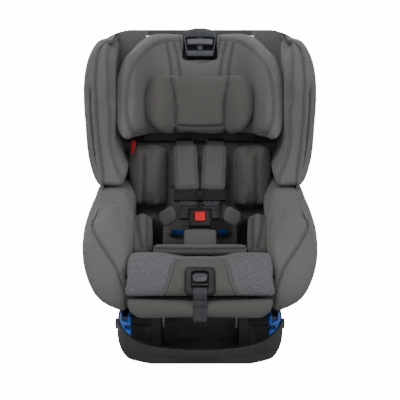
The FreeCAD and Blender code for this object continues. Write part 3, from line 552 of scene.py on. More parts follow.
def stitches(name, lines, sunk=0.0):
    """A row of short thread spindles along each line."""
    vertices, faces = [], []
    for line in lines:
        travelled = 0.0
        due = STITCH_PITCH
        for i in range(1, len(line)):
            travelled += (line[i][0] - line[i - 1][0]).length
            if travelled < due:
                continue
            due += STITCH_PITCH
            place, normal = line[i]
            along = (line[i][0] - line[i - 1][0]).normalized()
            side = along.cross(normal).normalized()
            middle = place - normal * sunk
            base = len(vertices)
            vertices += [middle - along * STITCH_LENGTH / 2, middle + along * STITCH_LENGTH / 2]
            for direction in (side, normal, -side, -normal):
                vertices.append(middle + direction * THREAD - along * STITCH_LENGTH * 0.3)
                vertices.append(middle + direction * THREAD + along * STITCH_LENGTH * 0.3)
            for k in range(4):
                a, b = base + 2 + 2 * k, base + 2 + 2 * ((k + 1) % 4)
                faces += [(base, b, a), (a, b, b + 1, a + 1), (base + 1, a + 1, b + 1)]
    return smooth_shaded(mesh_piece(name, vertices, faces))


print("soft-piece helpers ready")

# %% [markdown]
# ## Shared surface effects
# Woven cloth, knit flecks, webbing ribs and moulded grain each show on more than one
# material, so each is a node group with named sockets. A group hands out only masks and heights;
# the shader itself, and every number that is the same all over, stays in the material.

# %% Node group builder
def new_group(name, inputs, outputs):
    """An empty shader node group with float or colour sockets, and its two end nodes."""
    tree = bpy.data.node_groups.new(name, "ShaderNodeTree")
    for label, kind, value in inputs:
        socket = tree.interface.new_socket(name=label, in_out="INPUT", socket_type=kind)
        if value is not None:
            socket.default_value = value
    for label, kind in outputs:
        tree.interface.new_socket(name=label, in_out="OUTPUT", socket_type=kind)
    return tree, tree.nodes.new("NodeGroupInput"), tree.nodes.new("NodeGroupOutput")


def math_node(tree, operation, first, second=None, clamp=False):
    node = tree.nodes.new("ShaderNodeMath")
    node.operation = operation
    node.use_clamp = clamp
    for socket, value in zip(node.inputs, (first, second)):
        if value is None:
            continue
        if isinstance(value, (int, float)):
            socket.default_value = value
        else:
            tree.links.new(value, socket)
    return node.outputs[0]


def ramp_node(tree, value, low, high):
    """Maps low..high to 0..1, clamped."""
    node = tree.nodes.new("ShaderNodeMapRange")
    node.inputs["From Min"].default_value = low
    node.inputs["From Max"].default_value = high
    tree.links.new(value, node.inputs["Value"])
    return node.outputs["Result"]


def noise_node(tree, vector, scale, detail=2.0):
    node = tree.nodes.new("ShaderNodeTexNoise")
    node.inputs["Scale"].default_value = scale
    node.inputs["Detail"].default_value = detail
    tree.links.new(vector, node.inputs["Vector"])
    return node.outputs["Fac"]


def scaled(tree, vector, scale, spin=(0.0, 0.0, 0.0)):
    node = tree.nodes.new("ShaderNodeMapping")
    node.inputs["Scale"].default_value = scale
    node.inputs["Rotation"].default_value = spin
    tree.links.new(vector, node.inputs["Vector"])
    return node.outputs["Vector"]


def wave_node(tree, vector, scale, direction, distortion=0.0):
    node = tree.nodes.new("ShaderNodeTexWave")
    node.bands_direction = direction
    node.wave_profile = "SIN"
    node.inputs["Scale"].default_value = scale
    node.inputs["Distortion"].default_value = distortion
    node.inputs["Detail"].default_value = 0.0
    tree.links.new(vector, node.inputs["Vector"])
    return node.outputs["Fac"]


# %% Woven cloth, knit, webbing
def weave_group():
    """Threads over and under, with slow stains of light and dark; height and shade out."""
    tree, inside, out = new_group(
        "woven_cloth",
        [("Vector", "NodeSocketVector", None), ("Threads", "NodeSocketFloat", 900.0)],
        [("Height", "NodeSocketFloat"), ("Shade", "NodeSocketFloat")])
    scale = tree.nodes.new("ShaderNodeVectorMath")
    scale.operation = "SCALE"
    tree.links.new(inside.outputs["Vector"], scale.inputs[0])
    tree.links.new(inside.outputs["Threads"], scale.inputs["Scale"])
    tilted = scaled(tree, scale.outputs["Vector"], (1.0, 1.0, 1.0), (0.5, 0.35, 0.6))
    warp = wave_node(tree, tilted, 0.30, "X", 0.6)
    weft = wave_node(tree, tilted, 0.30, "Z", 0.6)
    cross = math_node(tree, "MAXIMUM", warp, weft)
    fuzz = noise_node(tree, scale.outputs["Vector"], 0.9, 2.0)
    height = math_node(tree, "ADD", math_node(tree, "MULTIPLY", cross, 0.6), math_node(tree, "MULTIPLY", fuzz, 0.5))
    tree.links.new(height, out.inputs["Height"])
    slow = noise_node(tree, inside.outputs["Vector"], 9.0, 3.0)
    fleck = noise_node(tree, scale.outputs["Vector"], 0.35, 2.0)
    mixed = math_node(tree, "ADD", math_node(tree, "MULTIPLY", slow, 0.45), math_node(tree, "MULTIPLY", fleck, 0.55))
    tree.links.new(ramp_node(tree, mixed, 0.28, 0.72), out.inputs["Shade"])
    return tree


def knit_group():
    """Melange knit: short flecks of dark and light yarn along the courses."""
    tree, inside, out = new_group(
        "melange_knit",
        [("Vector", "NodeSocketVector", None)],
        [("Height", "NodeSocketFloat"), ("Fleck", "NodeSocketFloat")])
    courses = scaled(tree, inside.outputs["Vector"], (330.0, 1150.0, 1150.0))
    yarn = noise_node(tree, courses, 1.0, 2.0)
    coarse = noise_node(tree, scaled(tree, inside.outputs["Vector"], (210.0, 520.0, 520.0)), 1.0, 1.0)
    rows = wave_node(tree, inside.outputs["Vector"], 210.0, "Z", 1.0)
    fleck = math_node(tree, "ADD", math_node(tree, "MULTIPLY", yarn, 0.6), math_node(tree, "MULTIPLY", coarse, 0.4))
    tree.links.new(ramp_node(tree, fleck, 0.36, 0.64), out.inputs["Fleck"])
    height = math_node(tree, "ADD", math_node(tree, "MULTIPLY", rows, 0.5), yarn)
    tree.links.new(height, out.inputs["Height"])
    return tree


def grain_group():
    """The fine leather-like grain of a moulding tool, with faint handling marks."""
    tree, inside, out = new_group(
        "moulded_grain",
        [("Vector", "NodeSocketVector", None), ("Scale", "NodeSocketFloat", 900.0)],
        [("Height", "NodeSocketFloat"), ("Smear", "NodeSocketFloat")])
    cells = tree.nodes.new("ShaderNodeTexVoronoi")
    cells.feature = "DISTANCE_TO_EDGE"
    tree.links.new(inside.outputs["Vector"], cells.inputs["Vector"])
    tree.links.new(inside.outputs["Scale"], cells.inputs["Scale"])
    rise = ramp_node(tree, cells.outputs["Distance"], 0.0, 0.25)
    fine = noise_node(tree, inside.outputs["Vector"], 2400.0, 1.0)
    height = math_node(tree, "ADD", rise, math_node(tree, "MULTIPLY", fine, 0.4))
    tree.links.new(height, out.inputs["Height"])
    smear = noise_node(tree, inside.outputs["Vector"], 24.0, 4.0)
    tree.links.new(ramp_node(tree, smear, 0.35, 0.7), out.inputs["Smear"])
    return tree


def rib_group():
    """Webbing: fine ribs across the strap and a lengthwise twill."""
    tree, inside, out = new_group(
        "webbing_ribs",
        [("Vector", "NodeSocketVector", None)],
        [("Height", "NodeSocketFloat"), ("Shade", "NodeSocketFloat")])
    ribs = wave_node(tree, inside.outputs["Vector"], 260.0, "Z", 0.3)
    twill = wave_node(tree, scaled(tree, inside.outputs["Vector"], (1.0, 1.0, 1.0), (0.0, 0.8, 0.0)), 300.0, "X", 0.5)
    height = math_node(tree, "ADD", ribs, math_node(tree, "MULTIPLY", twill, 0.6))
    tree.links.new(height, out.inputs["Height"])
    dust = noise_node(tree, inside.outputs["Vector"], 120.0, 3.0)
    tree.links.new(ramp_node(tree, dust, 0.3, 0.75), out.inputs["Shade"])
    return tree


GROUPS = {"weave": weave_group(), "knit": knit_group(), "grain": grain_group(), "ribs": rib_group()}
print("effects:", ", ".join(GROUPS))

# %% Materials
def start_material(name, group_key):
    """A Principled material with one effect group fed by Object coordinates."""
    material = bpy.data.materials.new(name)
    material.use_nodes = True
    tree = material.node_tree
    shader = tree.nodes["Principled BSDF"]
    coordinates = tree.nodes.new("ShaderNodeTexCoord")
    group = tree.nodes.new("ShaderNodeGroup")
    group.node_tree = GROUPS[group_key]
    tree.links.new(coordinates.outputs["Object"], group.inputs["Vector"])
    return material, tree, shader, group


def mix_colours(tree, factor, first, second):
    node = tree.nodes.new("ShaderNodeMix")
    node.data_type = "RGBA"
    for socket, value in ((node.inputs[6], first), (node.inputs[7], second)):
        if isinstance(value, tuple):
            socket.default_value = value
        else:
            tree.links.new(value, socket)
    tree.links.new(factor, node.inputs[0])
    return node.outputs[2]


def add_bump(tree, shader, height, strength, distance):
    bump = tree.nodes.new("ShaderNodeBump")
    bump.inputs["Strength"].default_value = strength
    bump.inputs["Distance"].default_value = distance
    tree.links.new(height, bump.inputs["Height"])
    tree.links.new(bump.outputs["Normal"], shader.inputs["Normal"])


def paint_seam_groove_shade(tree, colour, shade):
    """Paints shade into the seam grooves: deepens a colour where the piece's own seam attribute is high."""
    seam = tree.nodes.new("ShaderNodeAttribute")
    seam.attribute_name = "seam"
    factor = math_node(tree, "MULTIPLY", seam.outputs["Fac"], 0.75)
    return mix_colours(tree, factor, colour, shade)


def cloth(name, dark, light, threads=900.0, sheen=0.12, bump=0.35):
    """Woven cover fabric."""
    material, tree, shader, group = start_material(name, "weave")
    group.inputs["Threads"].default_value = threads
    colour = mix_colours(tree, group.outputs["Shade"], dark + (1.0,), light + (1.0,))
    # painted shade: the colour darkens towards this in the seam grooves
    painted_seam_shade = tuple(0.45 * c for c in dark) + (1.0,)
    tree.links.new(paint_seam_groove_shade(tree, colour, painted_seam_shade), shader.inputs["Base Color"])
    shader.inputs["Roughness"].default_value = 0.88
    shader.inputs["Specular IOR Level"].default_value = 0.25
    shader.inputs["Sheen Weight"].default_value = sheen
    shader.inputs["Sheen Roughness"].default_value = 0.5
    add_bump(tree, shader, group.outputs["Height"], bump, 0.0004)
    return material


def knit_cloth(name, dark, light):
    """Two-tone melange knit."""
    material, tree, shader, group = start_material(name, "knit")
    colour = mix_colours(tree, group.outputs["Fleck"], dark + (1.0,), light + (1.0,))
    # painted shade: the colour darkens towards this in the seam grooves
    painted_seam_shade = tuple(0.5 * c for c in dark) + (1.0,)
    tree.links.new(paint_seam_groove_shade(tree, colour, painted_seam_shade), shader.inputs["Base Color"])
    shader.inputs["Roughness"].default_value = 0.9
    shader.inputs["Specular IOR Level"].default_value = 0.2
    shader.inputs["Sheen Weight"].default_value = 0.1
    add_bump(tree, shader, group.outputs["Height"], 0.5, 0.0006)
    return material


def moulding(name, dark, light, roughness, scale=900.0, bump=0.12, specular=0.5):
    """Moulded plastic with a fine grain."""
    material, tree, shader, group = start_material(name, "grain")
    group.inputs["Scale"].default_value = scale
    colour = mix_colours(tree, group.outputs["Smear"], dark + (1.0,), light + (1.0,))
    tree.links.new(colour, shader.inputs["Base Color"])
    rough = math_node(tree, "MULTIPLY_ADD", group.outputs["Smear"], -0.12)
    rough.node.inputs[2].default_value = roughness + 0.06
    tree.links.new(rough, shader.inputs["Roughness"])
    shader.inputs["Specular IOR Level"].default_value = specular
    add_bump(tree, shader, group.outputs["Height"], bump, 0.0003)
    return material


def strap_cloth(name, dark, light):
    """Woven polyester webbing."""
    material, tree, shader, group = start_material(name, "ribs")
    colour = mix_colours(tree, group.outputs["Shade"], dark + (1.0,), light + (1.0,))
    tree.links.new(colour, shader.inputs["Base Color"])
    shader.inputs["Roughness"].default_value = 0.62
    shader.inputs["Specular IOR Level"].default_value = 0.4
    add_bump(tree, shader, group.outputs["Height"], 0.5, 0.0004)
    return material


def steel(name):
    """Zinc-plated steel with faint drawing marks."""
    material, tree, shader, group = start_material(name, "grain")
    colour = mix_colours(tree, group.outputs["Smear"], (0.42, 0.42, 0.43, 1.0), (0.55, 0.55, 0.56, 1.0))
    tree.links.new(colour, shader.inputs["Base Color"])
    shader.inputs["Metallic"].default_value = 1.0
    shader.inputs["Roughness"].default_value = 0.38
    add_bump(tree, shader, group.outputs["Height"], 0.05, 0.0002)
    return material


FINISHES = {
    "cover": cloth("cover_fabric", (0.098, 0.097, 0.094), (0.126, 0.125, 0.121)),
    "mesh_lining": cloth("lining_fabric", (0.104, 0.107, 0.110), (0.136, 0.140, 0.144), threads=520.0, bump=0.5),
    "insert": cloth("insert_fabric", (0.068, 0.067, 0.063), (0.088, 0.086, 0.081), sheen=0.15),
    "panel": cloth("panel_fabric", (0.072, 0.071, 0.066), (0.092, 0.090, 0.084), sheen=0.1),
    "strap_pad": cloth("strap_pad_fabric", (0.068, 0.068, 0.066), (0.090, 0.090, 0.087)),
    "knit": knit_cloth("melange_fabric", (0.072, 0.073, 0.078), (0.138, 0.138, 0.148)),
    "thread": cloth("sewing_thread", (0.150, 0.148, 0.140), (0.185, 0.182, 0.172), threads=2500.0),
    "piping": cloth("piping_fabric", (0.092, 0.090, 0.086), (0.118, 0.116, 0.110), threads=1400.0),
    "webbing": strap_cloth("harness_webbing", (0.026, 0.027, 0.031), (0.040, 0.041, 0.047)),
    "shell": moulding("shell_moulding", (0.020, 0.020, 0.022), (0.027, 0.027, 0.030), 0.52),
    "base": moulding("base_moulding", (0.012, 0.012, 0.013), (0.018, 0.018, 0.020), 0.5),
    "dark": moulding("dark_fittings", (0.010, 0.010, 0.011), (0.015, 0.015, 0.017), 0.48, 1500.0, 0.06, 0.16),
    "surround": moulding("surround_plastic", (0.014, 0.0145, 0.0155), (0.020, 0.0205, 0.022), 0.48, 1500.0, 0.06, 0.2),
    "handle": moulding("handle_plastic", (0.026, 0.028, 0.034), (0.034, 0.036, 0.043), 0.45, 1300.0, 0.08, 0.4),
    "grip_foot": moulding("grip_foot_plastic", (0.046, 0.050, 0.060), (0.058, 0.063, 0.075), 0.45, 1300.0, 0.08, 0.3),
    "grey": moulding("trigger_plastic", (0.085, 0.090, 0.105), (0.105, 0.112, 0.130), 0.42, 1500.0, 0.05, 0.4),
    "red": moulding("buckle_red", (0.52, 0.010, 0.014), (0.60, 0.014, 0.019), 0.45, 1500.0, 0.03, 0.12),
    "blue": moulding("guide_blue", (0.006, 0.085, 0.42), (0.010, 0.115, 0.52), 0.4, 1300.0, 0.06),
    "rubber": moulding("pad_rubber", (0.016, 0.016, 0.016), (0.024, 0.024, 0.024), 0.8, 700.0, 0.2, 0.3),
    "steel": steel("plated_steel"),
    "label_red": cloth("label_red", (0.45, 0.014, 0.018), (0.56, 0.020, 0.026), threads=1600.0),
    "label_blue": cloth("label_blue", (0.008, 0.075, 0.36), (0.012, 0.10, 0.46), threads=1600.0),
}
print("finishes:", len(FINISHES))


def dress(piece, finish, slot, body, padded=None):
    """Gives a piece its finish, the record's slot, its body and, for a pad, its stuffing."""
    piece.data.materials.clear()
    piece.data.materials.append(FINISHES[finish])
    smooth_shaded(piece)
    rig.slot(piece, slot)
    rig.ride(piece, body)
    if padded is not None:
        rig.padded(piece, fill=padded)
    return piece


# %% [markdown]
# ## The moulded parts
# The hard nodes of the frame are right as they are, so each keeps its mesh and is given one of
# the finishes above. The record's slot names say which node is made of what.

# %% Finish the hard nodes
NODE_FINISH = {
    "shell_plastic": "shell", "base_plastic": "base", "dark_plastic": "dark", "grey_plastic": "grey",
    "red_plastic": "red", "blue_plastic": "blue", "steel": "steel", "rubber": "rubber",
    "webbing": "webbing", "cover_fabric": "cover", "knit_fabric": "knit", "back_fabric": "cover",
    "insert_fabric": "insert", "strap_pads": "strap_pad",
}
SPECIAL_FINISH = {"headrest_handle": "handle", "adjuster_plate": "surround", "adjuster_button": "handle"}
for entry in frame["record"]["subparts"]:
    node = frame["nodes"][entry["node"]]
    finish = FINISHES[NODE_FINISH[entry["material_slot"]]]
    finish = FINISHES[SPECIAL_FINISH[entry["node"]]] if entry["node"] in SPECIAL_FINISH else finish
    for slot_index in range(len(node.material_slots)):
        node.material_slots[slot_index].material = finish
print("finished", len(frame["nodes"]), "nodes")

# %% [markdown]
# ## Soft covers from plain solids
# Foam under sewn cloth has no sharp edge and no flat face. The helper below turns one plain solid
# into that: even squares, rounding that leaves alone whatever lies against a hard part, a short
# cloth blow-up, one finer level and slow shallow waves. It is made once here because every padded
# part of the seat goes through the same steps with its own numbers.

# %% The common steps
def away_from(nodes, near, far):
    """A weight that is 0 on points close to hard nodes and 1 further off."""
    trees = [surface(frame["nodes"][node]) for node in nodes]

    def weight(points):
        distance = np.full(len(points), far)
        for tree in trees:
            for i, p in enumerate(points):
                hit = tree.find_nearest(Vector(p), far)
                if hit[0] is not None:
                    distance[i] = min(distance[i], hit[3])
        return np.clip((distance - near) / (far - near), 0.0, 1.0)

    return weight


def cushion(name, node, size=4.5 * MM, rounds=12, beside=(), pressure=4.0, cap=5 * MM, wave=0.6 * MM,
            seed=1.0):
    """A rounded, slightly swollen cover made from a plain solid."""
    piece = copy_of_node(name, node)
    remesh(piece, size)
    fixed = away_from(beside, 2 * MM, 7 * MM)(get_points(piece)) if beside else None
    soften(piece, rounds, None if fixed is None else (lambda points: fixed))
    if pressure:
        puff(piece, pressure, cap)
    soften(piece, 2, None if fixed is None else (lambda points: fixed))
    refine(piece)
    crease_noise(piece, wave, 0.06, seed)
    return piece


def mirrored_piece(piece, name):
    """The same piece on the other side of the seat."""
    twin = piece.copy()
    twin.data = piece.data.copy()
    twin.name = name
    bpy.context.scene.collection.objects.link(twin)
    points = get_points(twin)
    points[:, 0] *= -1
    set_points(twin, points)
    twin.data.flip_normals()
    return twin


def widen(piece, start, full, amount):
    """Moves the ends of a piece outwards in x, so that it meets the parts on both sides."""
    points = get_points(piece)
    share = np.clip((np.abs(points[:, 0]) - start) / (full - start), 0.0, 1.0)
    points[:, 0] += np.sign(points[:, 0]) * share * amount
    set_points(piece, points)


def bulge(piece, x, z, wide, tall, amount):
    """Swells the front of a piece round a point and its mirror image, as seen from in front."""
    points = get_points(piece)
    normals = get_normals(piece)
    away = ((np.abs(points[:, 0]) - x) / wide) ** 2 + ((points[:, 2] - z) / tall) ** 2
    set_points(piece, points + normals * (amount * np.exp(-away) * (normals[:, 1] < 0.3))[:, None])


def millimetres(points):
    return [tuple(0.001 * v for v in p) for p in points]


def double_stitch(name, lines, tree, gap=2.2 * MM):
    """Two stitch rows, one on each side of every seam, for the look of a topstitched join."""
    rows = []
    for line in lines:
        for side in (-gap, gap):
            rows.append(settle(offset_line(line, side), tree))
    return stitches(name, rows)


# %% [markdown]
# ## Wings and arms
# The sides of the bucket are wrapped in two pairs of covers: wings beside the head and arms beside
# the hips, joined at the waist. A wing's rim is a band of its own between two seams. The inner one
# has piping, because that edge is rubbed most.

# %% Wings
HARD_SIDES = ("seat_shell", "shell_belly")
WING_INNER_EDGE = millimetres([
    (130, 120, 655), (165, 62, 652), (182, 20, 630), (186, 4, 590), (186, -2, 540), (185, -5, 480),
    (182, -10, 430), (170, -20, 385), (158, -28, 350)])
WING_OUTER_SEAM = millimetres([
    (196, 80, 640), (214, 36, 622), (220, 8, 590), (221, -4, 540), (219, -8, 480), (212, -14, 410), (204, -28, 348)])


wing_right = cushion("wing_cover_right", "wing_pad_right", rounds=26, beside=HARD_SIDES, cap=6 * MM, seed=2.0)
tree = surface(wing_right)
wing_lines = [line_near(tree, WING_INNER_EDGE), line_near(tree, WING_OUTER_SEAM)]
sew(wing_right, wing_lines, depth=2.2 * MM, width=3 * MM, crown=1.2 * MM)
tree = surface(wing_right)
wing_lines = [settle(line, tree) for line in wing_lines]
wing_piping = piping("wing_piping_right", [wing_lines[0]], 1.9 * MM, 0.5 * MM)
wing_thread = double_stitch("wing_thread_right", [wing_lines[1]], tree)
print("wing:", len(wing_right.data.polygons), "faces")

# %% Arms
ARM_SEAM = millimetres([
    (231, -80, 290), (226, -104, 280), (220, -120, 268), (205, -146, 250), (184, -171, 226), (166, -187, 200),
    (153, -196, 172)])
arm_right = cushion("arm_cover_right", "arm_pad_right", rounds=22, beside=HARD_SIDES, cap=6 * MM, seed=3.0)
tree = surface(arm_right)
arm_lines = [line_near(tree, ARM_SEAM)]
sew(arm_right, arm_lines, depth=2.4 * MM, width=3 * MM, crown=1.5 * MM)
tree = surface(arm_right)
arm_lines = [settle(line, tree) for line in arm_lines]
arm_thread = double_stitch("arm_thread_right", arm_lines, tree)
print("arm:", len(arm_right.data.polygons), "faces")

# %% Both sides of the covers
def sheet_on_shell(name, across, upwards):
    """The cover's flap that lies on the inside of the shell behind the headrest, 4 mm thick."""
    tree = surface(frame["nodes"]["seat_shell"])
    front, back = [], []
    for z in upwards:
        for x in across:
            hit, low = None, z
            while hit is None:
                hit = tree.ray_cast(Vector((x, 0.0, low)), Vector((0, 1, 0)))[0]
                low -= 1.5 * MM
            front.append(hit - Vector((0, 6 * MM, 0)))
            back.append(hit - Vector((0, 2 * MM, 0)))
    columns, rows, half = len(across), len(upwards), len(front)
    rim = [i for i in range(columns)] + [r * columns + columns - 1 for r in range(1, rows)]
    rim += [half - 1 - i for i in range(1, columns)] + [r * columns for r in range(rows - 2, 0, -1)]
    faces = [(a + half, b + half, b, a) for a, b in zip(rim, rim[1:] + rim[:1])]
    for r in range(rows - 1):
        for c in range(columns - 1):
            a = r * columns + c
            faces.append((a, a + 1, a + columns + 1, a + columns))
            faces.append((a + half + columns, a + half + columns + 1, a + half + 1, a + half))
    return mesh_piece(name, front + back, faces)


def line_inner_faces(piece):
    """Gives the faces inside the piped edge the open mesh lining."""
    piece.data.materials.append(FINISHES["mesh_lining"])
    edge = np.array(WING_INNER_EDGE)[::-1]
    for face in piece.data.polygons:
        x, y, z = face.center
        face.material_index = 1 if x < np.interp(z, edge[:, 2], edge[:, 0]) - 1.5 * MM else 0


for right, left_name, finish, slot, node in (
        (wing_right, "wing_cover_left", "cover", "cover_fabric", "wing_pad"),
        (arm_right, "arm_cover_left", "cover", "cover_fabric", "arm_pad")):
    dress(right, finish, slot, "seat", padded=0.6)
    if right is wing_right:
        line_inner_faces(right)
    left = mirrored_piece(right, left_name)
    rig.slot(left, slot)
    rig.ride(left, "seat")
    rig.padded(left, fill=0.6)
    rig.replaces(right, node + "_right")
    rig.replaces(left, node + "_left")
wing_back = sheet_on_shell("wing_back_right", np.linspace(0.116, 0.188, 15), np.linspace(0.535, 0.656, 28))
for right, finish in ((wing_back, "cover"), (wing_piping, "piping"), (wing_thread, "thread"), (arm_thread, "thread")):
    left = mirrored_piece(right, right.name.replace("right", "left"))
    dress(right, finish, "cover_fabric", "seat")
    dress(left, finish, "cover_fabric", "seat")
print("covers on both sides")

# %% [markdown]
# ## Headrest and pillow
# The headrest is a padded cup: a rim band, a bowl of lighter lining and a flat middle; here the whole
# cover takes the one cover fabric. It slides up the back, so it and everything sewn to it rides on the
# headrest body. The pillow lies in the bowl; two curved seams divide its lobes from the middle, and a
# fold runs along its lower edge.

# %% Headrest
headrest = cushion("headrest_cover", "headrest_pad", rounds=14, beside=("headrest_frame", "headrest_handle"),
                   cap=5 * MM, seed=4.0)
RIM_SEAM = [
    (0.043, 0.640), (0.081, 0.636), (0.105, 0.626), (0.131, 0.606), (0.147, 0.579), (0.155, 0.544), (0.157, 0.515),
    (0.155, 0.486), (0.147, 0.460), (0.137, 0.446), (0.117, 0.436)]
WING_CREASE = [(0.074, 0.632), (0.068, 0.604), (0.063, 0.561), (0.066, 0.500), (0.066, 0.445)]
MIDDLE_WELT = [(0.057, 0.632), (0.049, 0.600), (0.043, 0.560)]
NOTCH_SEAM = [
    (-0.046, 0.648), (-0.041, 0.622), (-0.036, 0.606), (-0.026, 0.596), (-0.010, 0.592), (0.010, 0.592),
    (0.026, 0.596), (0.036, 0.606), (0.041, 0.622), (0.046, 0.648)]


def both_hands(line):
    return [line, [(-x, z) for x, z in line]]


tree = surface(headrest)
rim_lines = [line_on_front(tree, line) for line in both_hands(RIM_SEAM)]
crease_lines = [line_on_front(tree, line) for line in both_hands(WING_CREASE)]
welt_lines = [line_on_front(tree, line) for line in both_hands(MIDDLE_WELT)]
notch_line = line_on_front(tree, NOTCH_SEAM)
sew(headrest, rim_lines + crease_lines + welt_lines + [notch_line], depth=1.8 * MM, width=2.6 * MM, crown=1.4 * MM)
tree = surface(headrest)
rim_lines, crease_lines, welt_lines = ([settle(line, tree) for line in group]
                                       for group in (rim_lines, crease_lines, welt_lines))
headrest_piping = piping("headrest_piping", rim_lines, 1.6 * MM, 0.4 * MM)
headrest_thread = double_stitch("headrest_thread", crease_lines + welt_lines + [settle(notch_line, tree)], tree)
dress(headrest, "cover", "cover_fabric", "headrest", padded=0.6)
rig.replaces(headrest, "headrest_pad")
dress(headrest_piping, "piping", "cover_fabric", "headrest")
dress(headrest_thread, "thread", "cover_fabric", "headrest")
print("headrest:", len(headrest.data.polygons), "faces")

# %% Pillow
pillow = cushion("pillow", "head_pillow", size=4 * MM, rounds=10, cap=6 * MM, seed=5.0)
bulge(pillow, 0.087, 0.500, 0.022, 0.050, 5.0 * MM)
bulge(pillow, 0.0, 0.515, 0.032, 0.030, 2.0 * MM)
PILLOW_SEAM = [(0.062, 0.572), (0.057, 0.540), (0.052, 0.500), (0.053, 0.460), (0.058, 0.424)]
PILLOW_FOLD = [(-0.050, 0.461), (-0.025, 0.459), (0.0, 0.458), (0.025, 0.459), (0.050, 0.461)]
tree = surface(pillow)
pillow_lines = [line_on_front(tree, line) for line in both_hands(PILLOW_SEAM) + [PILLOW_FOLD]]
sew(pillow, pillow_lines, depth=4.5 * MM, width=4 * MM, crown=2.0 * MM)
tree = surface(pillow)
pillow_lines = [settle(line, tree) for line in pillow_lines]
pillow_thread = double_stitch("pillow_thread", pillow_lines[:2], tree, 2.6 * MM)
dress(pillow, "insert", "insert_fabric", "headrest", padded=0.5)
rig.replaces(pillow, "head_pillow")
dress(pillow_thread, "thread", "insert_fabric", "headrest")
print("pillow:", len(pillow.data.polygons), "faces")

# %% [markdown]
# ## Seat and back
# The seat cushion turns down over the front. Its middle is a smooth panel between two raised welts,
# and the melange knit lies outside them. The leg rest below has its own padded cover, which slides
# out with it.

# %% Seat cushion, back cushion and leg rest
PLATE_CENTRE = np.array([0.0, -0.214, 0.188])
PLATE_LEAN = math.radians(26.0)
PLATE_HALF = 0.0295
PLATE_BACK = 0.0085


def clear_of_plate(piece):
    """Presses the cover down behind the tightener's plate, so that its button has room to sink."""
    inward = np.array([0.0, math.cos(PLATE_LEAN), -math.sin(PLATE_LEAN)])
    upward = np.array([0.0, math.sin(PLATE_LEAN), math.cos(PLATE_LEAN)])
    points = get_points(piece)
    depth = (points - PLATE_CENTRE) @ inward
    height = (points - PLATE_CENTRE) @ upward
    under = (np.abs(points[:, 0]) < PLATE_HALF) & (np.abs(height) < PLATE_HALF) & (depth < PLATE_BACK)
    set_points(piece, points + (under * (PLATE_BACK - depth))[:, None] * inward)


seat_top = cushion("seat_cushion_cover", "seat_cushion", rounds=12, beside=("adjuster_plate", "seat_shell"),
                   cap=5 * MM, seed=6.0)
PANEL_WELT = millimetres([
    (79, -217, 135), (80, -216, 144), (80, -214, 154), (72, -212, 166), (64, -208, 184), (58, -196, 206),
    (53, -182, 220), (47, -166, 228)])


def other_side(points):
    return [(-x, y, z) for x, y, z in points]


tree = surface(seat_top)
panel_lines = [line_near(tree, PANEL_WELT), line_near(tree, other_side(PANEL_WELT))]
top_line = line_near(tree, millimetres([(-47, -166, 228), (-20, -163, 229), (20, -163, 229), (47, -166, 228)]))
sew(seat_top, panel_lines + [top_line], depth=1.6 * MM, width=3 * MM, crown=0.8 * MM)
tree = surface(seat_top)
panel_lines = [settle(line, tree) for line in panel_lines + [top_line]]
panel_piping = piping("panel_welt", panel_lines, 2.0 * MM, 0.2 * MM)
FRONT_SEAM = [
    (-0.146, 0.184), (-0.130, 0.164), (-0.104, 0.147), (-0.078, 0.139), (-0.040, 0.1355), (0.0, 0.1345),
    (0.040, 0.1355), (0.078, 0.139), (0.104, 0.147), (0.130, 0.164), (0.146, 0.184)]
front_thread = stitches("front_seam_thread", [line_on_front(tree, FRONT_SEAM)])
dress(front_thread, "thread", "knit_fabric", "seat")
widen(seat_top, 0.100, 0.150, 3 * MM)
clear_of_plate(seat_top)
leg_pad = cushion("leg_rest_cover", "leg_rest_pad", size=4 * MM, rounds=12, cap=4 * MM, seed=7.0)
points = get_points(leg_pad)
low = np.clip((0.135 - points[:, 2]) / 0.030, 0.0, 1.0)
points[:, 0] *= 1.0 - 0.09 * low ** 2
set_points(leg_pad, points)
back_pad = cushion("back_cushion_cover", "back_cushion", rounds=8, pressure=0.0, seed=8.0)
dress(seat_top, "knit", "knit_fabric", "seat", padded=0.6)
seat_top.data.materials.append(FINISHES["panel"])


def inside_panel(centre):
    """True on the smooth middle panel, between the welts and below the top one."""
    x, y, z = centre
    heights = [0.128, 0.154, 0.166, 0.184, 0.206, 0.220, 0.228]
    edge = np.interp(z, heights, [0.079, 0.080, 0.072, 0.064, 0.058, 0.053, 0.047])
    return abs(x) < edge and y < -0.163


for face in seat_top.data.polygons:
    face.material_index = 1 if inside_panel(face.center) else 0
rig.replaces(seat_top, "seat_cushion")
dress(panel_piping, "piping", "knit_fabric", "seat")
dress(leg_pad, "panel", "cover_fabric", "leg_rest", padded=0.6)
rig.replaces(leg_pad, "leg_rest_pad")
dress(back_pad, "cover", "back_fabric", "seat", padded=0.6)
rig.replaces(back_pad, "back_cushion")
print("seat cushion:", len(seat_top.data.polygons), "faces")

# %% [markdown]
# ## The small child's insert
# A removable body support: a quilted back, a thin seat, a bolster beside the ribs and one beside
# each hip, and a soft roll under the thighs. Its jersey is softer than the covers, so its parts swell
# more and their seams pull deeper.

# %% Insert
insert_back = cushion("insert_back_pad", "insert_back", size=4 * MM, rounds=8, cap=4 * MM, seed=9.0)
insert_seat = cushion("insert_seat_pad", "insert_seat", size=3.5 * MM, rounds=5, pressure=0.0, seed=10.0)
insert_roll = cushion("insert_roll", "insert_front_roll", size=4 * MM, rounds=8, cap=5 * MM, seed=11.0)
insert_hips = cushion("insert_hip_pads", "insert_hips", size=4 * MM, rounds=40, cap=8 * MM, seed=12.0)
insert_side = cushion("insert_side_right_pad", "insert_side_right", size=4 * MM, rounds=24, cap=6 * MM, seed=13.0)
SIDE_SEAM = [(0.121, 0.392), (0.121, 0.350), (0.122, 0.310), (0.124, 0.270)]
HIP_SEAMS = [
    millimetres([(134, -30, 290), (133, -60, 286), (129, -90, 264), (120, -118, 236)]),
    millimetres([(110, -30, 290), (108, -60, 286), (105, -90, 264), (101, -118, 236)])]
tree = surface(insert_back)
